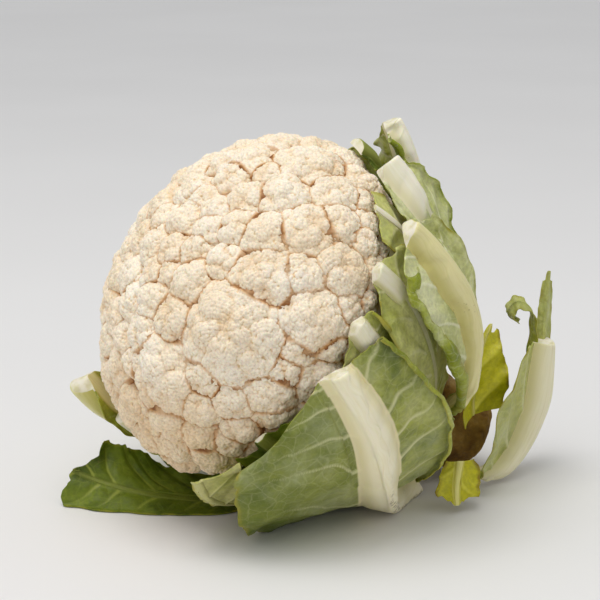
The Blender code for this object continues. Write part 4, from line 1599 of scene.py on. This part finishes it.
# from the innermost leaf to the outermost: each one is laid over those before it
LEAVES = (
    Leaf("leaf_collar_right", Paint.PALE, Shell.INNER,
         ((-70, 32, 0), (-45, 34, 0), (-20, 37, 0), (2, 38, 1)),
         ((-72, 45, 0), (-45, 46, 0), (-20, 48, 0), (7, 48, 2)),
         ((-70, 58, 0), (-45, 58, 0), (-20, 58, 0), (9, 57, 1)), (2, 1.5, 1, 0.8),
         rows=60, blade=18, **both(1.0, 20.0, 0.15, 0.05)),
    Leaf("leaf_collar_top", Paint.DARK, Shell.INNER,
         ((-70, 68, 0), (-45, 68, 0), (-18, 68, 0), (5, 69, 1)),
         ((-72, 80, 0), (-45, 80, 0), (-15, 79, 0), (10, 78, 3)),
         ((-70, 94, 0), (-45, 93, 0), (-15, 90, 1), (12, 86, 4)), (3, 5, 2, 4),
         rows=60, blade=20, left_edge=Margin(2.0, 18.0, 0.25, 0.12),
         right_edge=Margin(2.0, 15.0, 0.3, 0.15), taper=2.0),
    Leaf("leaf_inner_front", Paint.PALE, Shell.INNER,
         ((-68, -22, 0), (-48, -16, 0), (-24, -8, 0), (-4, -2, 0)),
         ((-72, -6, 0), (-46, 0, 0), (-22, 7, 0), (2, 11, 1)),
         ((-70, 14, 0), (-52, 14, 1), (-26, 16, 2), (-3, 17, 2)), (6, 5.5, 4, 6),
         rows=110, blade=30, right_edge=Margin(1.0, 30.0, 0.05, 0.03, 2.6, 190.0), taper=3.0),
    Leaf("leaf_inner_right", Paint.PALE, Shell.MIDDLE,
         ((-86, -14, 0), (-68, -6, 0), (-46, 2, -2), (-24, 10, -4), (-3, 20, -5)),
         ((-90, 4, 0), (-68, 12, 0), (-46, 19, -1), (-22, 26, -3), (2, 28, -4)),
         ((-86, 24, 0), (-68, 32, 0), (-46, 42, -2), (-24, 46, -4), (-3, 38, -5)), (3, 5, 1.5, 5),
         rows=110, blade=36, right_edge=Margin(2.0, 24.0, 0.08, 0.08), taper=3.0),
    Leaf("leaf_collar_front", Paint.DARK, Shell.INNER,
         ((-68, -62, -2), (-46, -56, -2), (-22, -50, -1), (2, -47, 0)),
         ((-72, -46, -2), (-46, -42, -2), (-22, -36, -1), (3, -33, 0)),
         ((-70, -30, 0), (-48, -26, 0), (-24, -20, 0), (1, -18, 0)), (5, 3, 3, 2), floor=4.5,
         rows=70, blade=26, **both(1.5, 18.0, 0.2, 0.1)),
    Leaf("leaf_collar_left", Paint.PALE, Shell.INNER,
         ((-66, -122, -4), (-44, -122, -3), (-18, -122, 0), (12, -124, 0)),
         ((-68, -108, -6), (-44, -108, -4), (-16, -108, 0), (16, -110, 0)),
         ((-66, -94, -6), (-44, -94, -4), (-16, -96, -1), (8, -99, 0)), (5, 4, 3, 3), floor=5.0,
         rows=60, blade=22),
    Leaf("leaf_collar_back", Paint.PALE, Shell.INNER,
         ((-68, 148, 0), (-46, 146, 0), (-22, 144, 0), (-2, 144, 1)),
         ((-72, 166, 0), (-46, 166, 0), (-22, 166, 0), (4, 166, 1)),
         ((-70, 184, 0), (-46, 186, 0), (-22, 188, 0), (-2, 188, 1)), (7, 5, 4, 4),
         rows=70, blade=32, **both(2.0, 24.0, 0.15, 0.12)),
    Leaf("leaf_collar_low", Paint.PALE, Shell.INNER,
         ((-68, 202, -1), (-46, 200, -1), (-22, 198, 0), (0, 197, 1)),
         ((-70, 216, -3), (-46, 216, -2), (-22, 215, 0), (4, 214, 1)),
         ((-68, 230, -4), (-46, 231, -3), (-22, 230, 0), (2, 228, 1)), (7, 5, 4, 4), floor=5.0,
         rows=70, blade=26, **both(2.0, 24.0, 0.15, 0.12)),
    Leaf("leaf_front_small", Paint.POUCH, Shell.MIDDLE,
         ((-78, -84, -4), (-56, -80, -4), (-34, -76, 0), (-14, -67, 5), (2, -58, 10), (14, -53, 10)),
         ((-80, -78, -4), (-56, -74, -4), (-34, -70, 0), (-14, -62, 5), (2, -55, 11), (13, -50, 11)),
         ((-78, -62, -3), (-56, -60, -3), (-34, -56, 0), (-16, -50, 2), (-2, -43, 3), (7, -38, 3)),
         (1.5, 1.2, 0.8, 0.6),
         floor=3.0, rib_tone=0.4, rows=120, blade=40, left_edge=Margin(1.2, 30.0, 0.05, 0.03),
         right_edge=Margin(3.0, 20.0, 0.15, 0.1)),
    Leaf("leaf_top", Paint.TOP, Shell.OUTER,
         ((-104, 70, 0), (-86, 72, -6), (-60, 74, -8), (-36, 76, -6), (-16, 76, 1), (0, 79, 9)),
         ((-108, 86, 0), (-88, 86, -6), (-62, 86, -8), (-36, 85, -6), (-16, 86, 4), (-3, 88, 14)),
         ((-104, 102, 0), (-86, 103, -6), (-62, 104, -8), (-38, 104, -6), (-22, 102, 1), (-12, 97, 8)),
         (9, 5, 8, 8),
         rows=110, blade=40, left_edge=Margin(2.5, 18.0, 0.15, 0.1, 2.0, 150.0),
         right_edge=Margin(3.0, 22.0, 0.12, 0.1)),
    Leaf("leaf_upper", Paint.TOP, Shell.MIDDLE,
         ((-88, 38, 0), (-72, 40, 0), (-50, 42, 0), (-26, 45, 0), (-3, 51, 0)),
         ((-90, 49, 0), (-72, 50, 0), (-50, 51, 0), (-28, 54, 1), (8, 61, 1)),
         ((-88, 60, 0), (-74, 63, 0), (-58, 67, 4), (-44, 71, 8), (-30, 75, 9), (-14, 74, 8), (-2, 71, 5)),
         (3, 8.5, 1.5, 8),
         rows=110, blade=40, left_edge=Margin(2.0, 22.0, 0.15, 0.12),
         right_edge=Margin(2.5, 16.0, 0.2, 0.1, 2.2, 150.0), taper=3.0),
    Leaf("leaf_left_rib", Paint.LEFT, Shell.MIDDLE,
         ((-82, -137, -5), (-58, -136, -4), (-30, -134, -2), (2, -131, -3), (26, -130, -7)),
         ((-84, -124, -6), (-58, -124, -5), (-30, -123, -2), (2, -120, -4), (36, -119, -10)),
         ((-82, -111, -7), (-58, -111, -5), (-30, -111, -2), (2, -109, -3), (28, -111, -7)),
         (8, 7.5, 7, 10), floor=3.0,
         rows=90, blade=20, **both(1.0, 20.0, 0.1, 0.05)),
    Leaf("leaf_back_upper", Paint.GREEN, Shell.MIDDLE,
         ((-88, 104, 0), (-70, 102, 0), (-48, 101, 0), (-24, 102, 0), (-10, 106, 0)),
         ((-90, 122, 0), (-70, 124, 0), (-48, 125, 0), (-24, 126, 0), (-6, 127, 0)),
         ((-88, 142, 0), (-70, 145, 0), (-48, 148, 0), (-24, 149, 0), (-12, 148, 0)), (9, 6, 6, 6),
         rows=90, blade=44, **both(3.0, 24.0, 0.12, 0.12)),
    Leaf("leaf_side_rib", Paint.SIDE, Shell.OUTER,
         ((-96, 2, -22), (-88, 6, -6), (-78, 9, 1), (-62, 12, 3), (-46, 15, 5), (-30, 17, 7),
          (-14, 21, 6), (-5, 27, 5)),
         ((-98, 10, -22), (-90, 13, -6), (-80, 18, 1), (-67, 30, 3), (-50, 38, 3), (-28, 43, 1),
          (-6, 46, -1)),
         ((-96, 20, -22), (-90, 24, -6), (-82, 29, 1), (-71, 41, 2), (-52, 48, 1), (-34, 52, -2),
          (-16, 53, -1)), (4.5, 7.5, 4, 8),
         rows=130, blade=46, left_edge=Margin(2.5, 26.0, 0.12, 0.03, 3.6, 200.0),
         right_edge=Margin(2.0, 24.0, 0.1, 0.08)),
    Leaf("leaf_back_low", Paint.GREEN, Shell.OUTER,
         ((-104, 206, -4), (-86, 204, -3), (-62, 203, -1), (-36, 203, 0), (-8, 205, 4)),
         ((-108, 224, -6), (-88, 226, -6), (-62, 228, -4), (-34, 228, 0), (0, 226, 6)),
         ((-104, 244, -8), (-88, 248, -8), (-64, 250, -5), (-38, 250, 0), (-12, 246, 8)),
         (9, 6, 6, 7),
         rows=100, blade=46, **both(3.0, 26.0, 0.1, 0.1)),
    Leaf("leaf_back_middle", Paint.GREEN, Shell.OUTER,
         ((-104, 146, 0), (-86, 146, 0), (-62, 147, 0), (-36, 149, 0), (-12, 152, 3)),
         ((-108, 168, 0), (-88, 170, 0), (-62, 172, 0), (-34, 172, 1), (-2, 172, 4)),
         ((-104, 190, 0), (-86, 194, 0), (-62, 196, 0), (-36, 196, 0), (-14, 192, 3)),
         (9, 6, 6, 7),
         rows=100, blade=46, **both(3.0, 26.0, 0.1, 0.1)),
    Leaf("leaf_floor_left", Paint.DARK, Shell.OUTER,
         ((-96, -84, -8), (-76, -82, -5), (-54, -81, 1), (-34, -80, 6), (-10, -88, 19), (6, -95, 32),
          (23, -103, 46)),
         ((-98, -94, -8), (-76, -94, -7), (-54, -94, -3), (-34, -92, 3), (-10, -96, 13), (6, -101, 20),
          (21, -105, 27)),
         ((-96, -104, -8), (-76, -106, -9), (-54, -108, -6), (-34, -108, 0), (-10, -111, 4),
          (5, -111, 1), (17, -108, -2)), (3, 0.8, 1.5, 0.3),
         rib_tone=0.5, rows=150, blade=44, left_edge=Margin(1.5, 22.0, 0.06, 0.06),
         right_edge=Margin(2.0, 20.0, 0.30, 0.10), veins=16.0),
    Leaf("leaf_front_rib", Paint.FRONT, Shell.OUTER,
         ((-104, -74, -5), (-84, -70, -2), (-62, -73, -2), (-45, -66, 6), (-31, -62, 15), (-14, -55, 15),
          (0, -46, 14), (4, -41, 5)),
         ((-108, -60, -4), (-84, -52, 5), (-60, -35, 3), (-34, -20, 2), (-13, -12, 1), (3, -7, -2)),
         ((-104, -44, 0), (-98, -30, 3), (-91, -14, 5), (-77, 0, 5), (-50, 8, 5), (-9, 12, 3)),
         (9.5, 6.5, 10, 7),
         tone_and_shade=(0.75, 0.1), rows=150, blade=56, veins=26.0, low_blotch=1.0,
         left_edge=Margin(4.0, 42.0, 0.10, 0.04), right_edge=Margin(1.5, 34.0, 0.03, 0.02, 2.4, 200.0)),
    Leaf("leaf_old_yellow", Paint.YELLOW, Shell.FREE,
         ((97, 1, 34), (96, 2, 48), (98, 9, 64), (106, 20, 79)),
         ((101, 12, 38), (101, 13, 51), (104, 17, 66), (110, 22, 80)),
         ((119, 20, 40), (120, 19, 55), (118, 21, 68), (113, 24, 79)), (1.2, 0.6, 0.8, 0.4),
         rows=60, blade=26, left_edge=Margin(1.5, 16.0, 0.22, 0.16),
         right_edge=Margin(1.5, 14.0, 0.28, 0.2)),
    Leaf("leaf_outer_right", Paint.GREEN, Shell.FREE,
         ((100, 8, 9), (105, 2, 11), (108, -1, 24), (114, 0, 46), (128, 8, 76)),
         ((108, 18, 11), (116, 27, 11), (125, 38, 19), (132, 38, 40), (132, 34, 67)),
         ((113, 28, 9), (124, 46, 11), (134, 60, 22), (141, 62, 44), (141, 54, 70)), (9, 10.5, 8, 10),
         rows=120, blade=44, left_edge=Margin(2.0, 26.0, 0.06, 0.05),
         right_edge=Margin(1.0, 24.0, 0.06, 0.05)),
    Leaf("leaf_torn_base", Paint.YELLOW, Shell.FREE,
         ((85, -10, 22), (80, -18, 13), (81, -22, 4)),
         ((94, -8, 21), (92, -16, 12), (92, -20, 4)),
         ((103, -3, 21), (105, -10, 12), (104, -13, 4)), (2, 1, 1, 0.5),
         rows=60, blade=30, **both(3.0, 11.0, 0.4, 0.4)),
    Leaf("strip_upright", Paint.GREEN, Shell.FREE,
         ((132, 39, 52), (133, 40, 73), (134.5, 41, 86), (137, 42, 99)),
         ((137, 39, 52), (137.5, 40, 73), (138.5, 41, 86), (139.5, 42, 101)),
         ((142, 45, 52), (142.5, 46, 73), (142.5, 46, 86), (141.5, 44, 98)), (0.8, 0.4, 0.5, 0.3),
         rib_tone=0.0, rows=60, blade=14, veins=60.0, left_edge=Margin(0.5, 12.0, 0.35, 0.1),
         right_edge=Margin(0.5, 12.0, 0.2, 0.1), cad=False),
    Leaf("strip_curled", Paint.GREEN, Shell.FREE,
         ((133, 31, 55), (134, 31, 71), (132, 30, 81), (125, 29, 84), (122.5, 30, 79), (127, 31, 76)),
         ((131, 35, 55), (131.5, 34, 73), (129.5, 33, 84), (123.5, 33, 87.5), (120, 34, 82), (125, 35, 78)),
         ((128, 38, 55), (129, 37, 74), (127.5, 37, 88), (122, 37, 91), (117.5, 38, 84), (123, 39, 80)),
         (0.8, 0.4, 0.5, 0.3),
         rib_tone=0.0, rows=70, blade=14, veins=60.0, left_edge=Margin(0.8, 8.0, 0.3, 0.1),
         right_edge=Margin(1.2, 7.0, 0.5, 0.2), cad=False),
)


# ---------------------------------------------------------------- the studio

@dataclass
class Studio:
    """The pale floor, the soft lights and the camera."""

    floor_size: float = 12.0
    lens: float = 110.87
    camera_place: tuple[float, float, float] = (0.01978, -0.82408, 0.20831)
    camera_tilt: float = 76.0
    sensor: float = 36.0
    sky: float = 0.48
    overhead: float = 8.4
    sun: float = 0.66
    sun_spread: float = 75.0
    floor_tones: tuple[Colour, Colour] = ((0.82, 0.81, 0.805), (0.84, 0.83, 0.825))

    def build_floor(self) -> None:
        """Lay the floor, a plane whose tone drifts a little."""
        deselect()
        bpy.ops.mesh.primitive_plane_add(size=self.floor_size, location=(0.0, 0.0, -0.0003))
        floor = bpy.context.object
        bpy.ops.object.transform_apply(location=True, rotation=True, scale=True)
        material, graph, shader = new_finish("pale_floor", 0.0, (1.0, 1.0, 1.0), 1.0)
        drift = graph.span(graph.noise(3.0, 2.0), 0.3, 0.7)
        one, two = ((*tone, 1.0) for tone in self.floor_tones)
        graph.feed(shader.inputs["Base Color"], graph.mix(drift, one, two))
        shader.inputs["Roughness"].default_value = 0.55
        name_piece(floor, "floor", material)

    def add_light(self, name: str, place: tuple[float, float, float], aim: tuple[float, float, float],
                  size: float, power: float, colour: Colour) -> None:
        """Add a square soft light.

        Args:
            name: the light's name.
            place: where it is, in metres.
            aim: the point it faces.
            size: its side.
            power: its power in watts.
            colour: its colour.
        """
        light = bpy.data.lights.new(name, "AREA")
        light.size = size
        light.energy = power
        light.color = colour
        lamp = bpy.data.objects.new(name, light)
        bpy.context.scene.collection.objects.link(lamp)
        lamp.location = place
        lamp.rotation_euler = (Vector(aim) - Vector(place)).to_track_quat("-Z", "Y").to_euler()

    def build(self) -> None:
        """Build the studio."""
        self.build_floor()
        world = bpy.data.worlds.new("studio")
        world.use_nodes = True
        background = world.node_tree.nodes["Background"].inputs
        background["Color"].default_value = (0.97, 0.985, 1.0, 1.0)
        background["Strength"].default_value = self.sky
        bpy.context.scene.world = world
        self.add_light("overhead", (-0.22, -0.26, 1.45), (0.0, 0.0, 0.08), 0.9, self.overhead,
                       (1.0, 0.985, 0.955))
        sun = bpy.data.objects.new("soft_sky", bpy.data.lights.new("soft_sky", "SUN"))
        sun.data.energy = self.sun
        sun.data.angle = math.radians(self.sun_spread)
        sun.rotation_euler = Vector((0.25, 0.25, -1.0)).to_track_quat("-Z", "Y").to_euler()
        bpy.context.scene.collection.objects.link(sun)
        view = bpy.context.scene.view_settings
        view.view_transform = "Standard"
        camera = bpy.data.objects.new("camera", bpy.data.cameras.new("camera"))
        camera.data.lens = self.lens
        camera.data.sensor_width = self.sensor
        camera.location = Vector(HEAD.centre * MM) + Vector(self.camera_place)
        camera.rotation_euler = (math.radians(self.camera_tilt), 0.0, 0.0)
        bpy.context.scene.collection.objects.link(camera)
        bpy.context.scene.camera = camera


def main() -> None:
    """Build the studio, the curd, the stump and the leaves, and report each piece."""
    logging.basicConfig(level=logging.INFO, format="%(message)s")
    deselect()
    Studio().build()
    layers = Layers(["curd", "stem_stump"] + [leaf.name for leaf in LEAVES if leaf.cad])
    Curd().build()
    Stump().build()
    for leaf in LEAVES:
        leaf.build(layers)
    deselect()


if __name__ == "__main__":
    main()
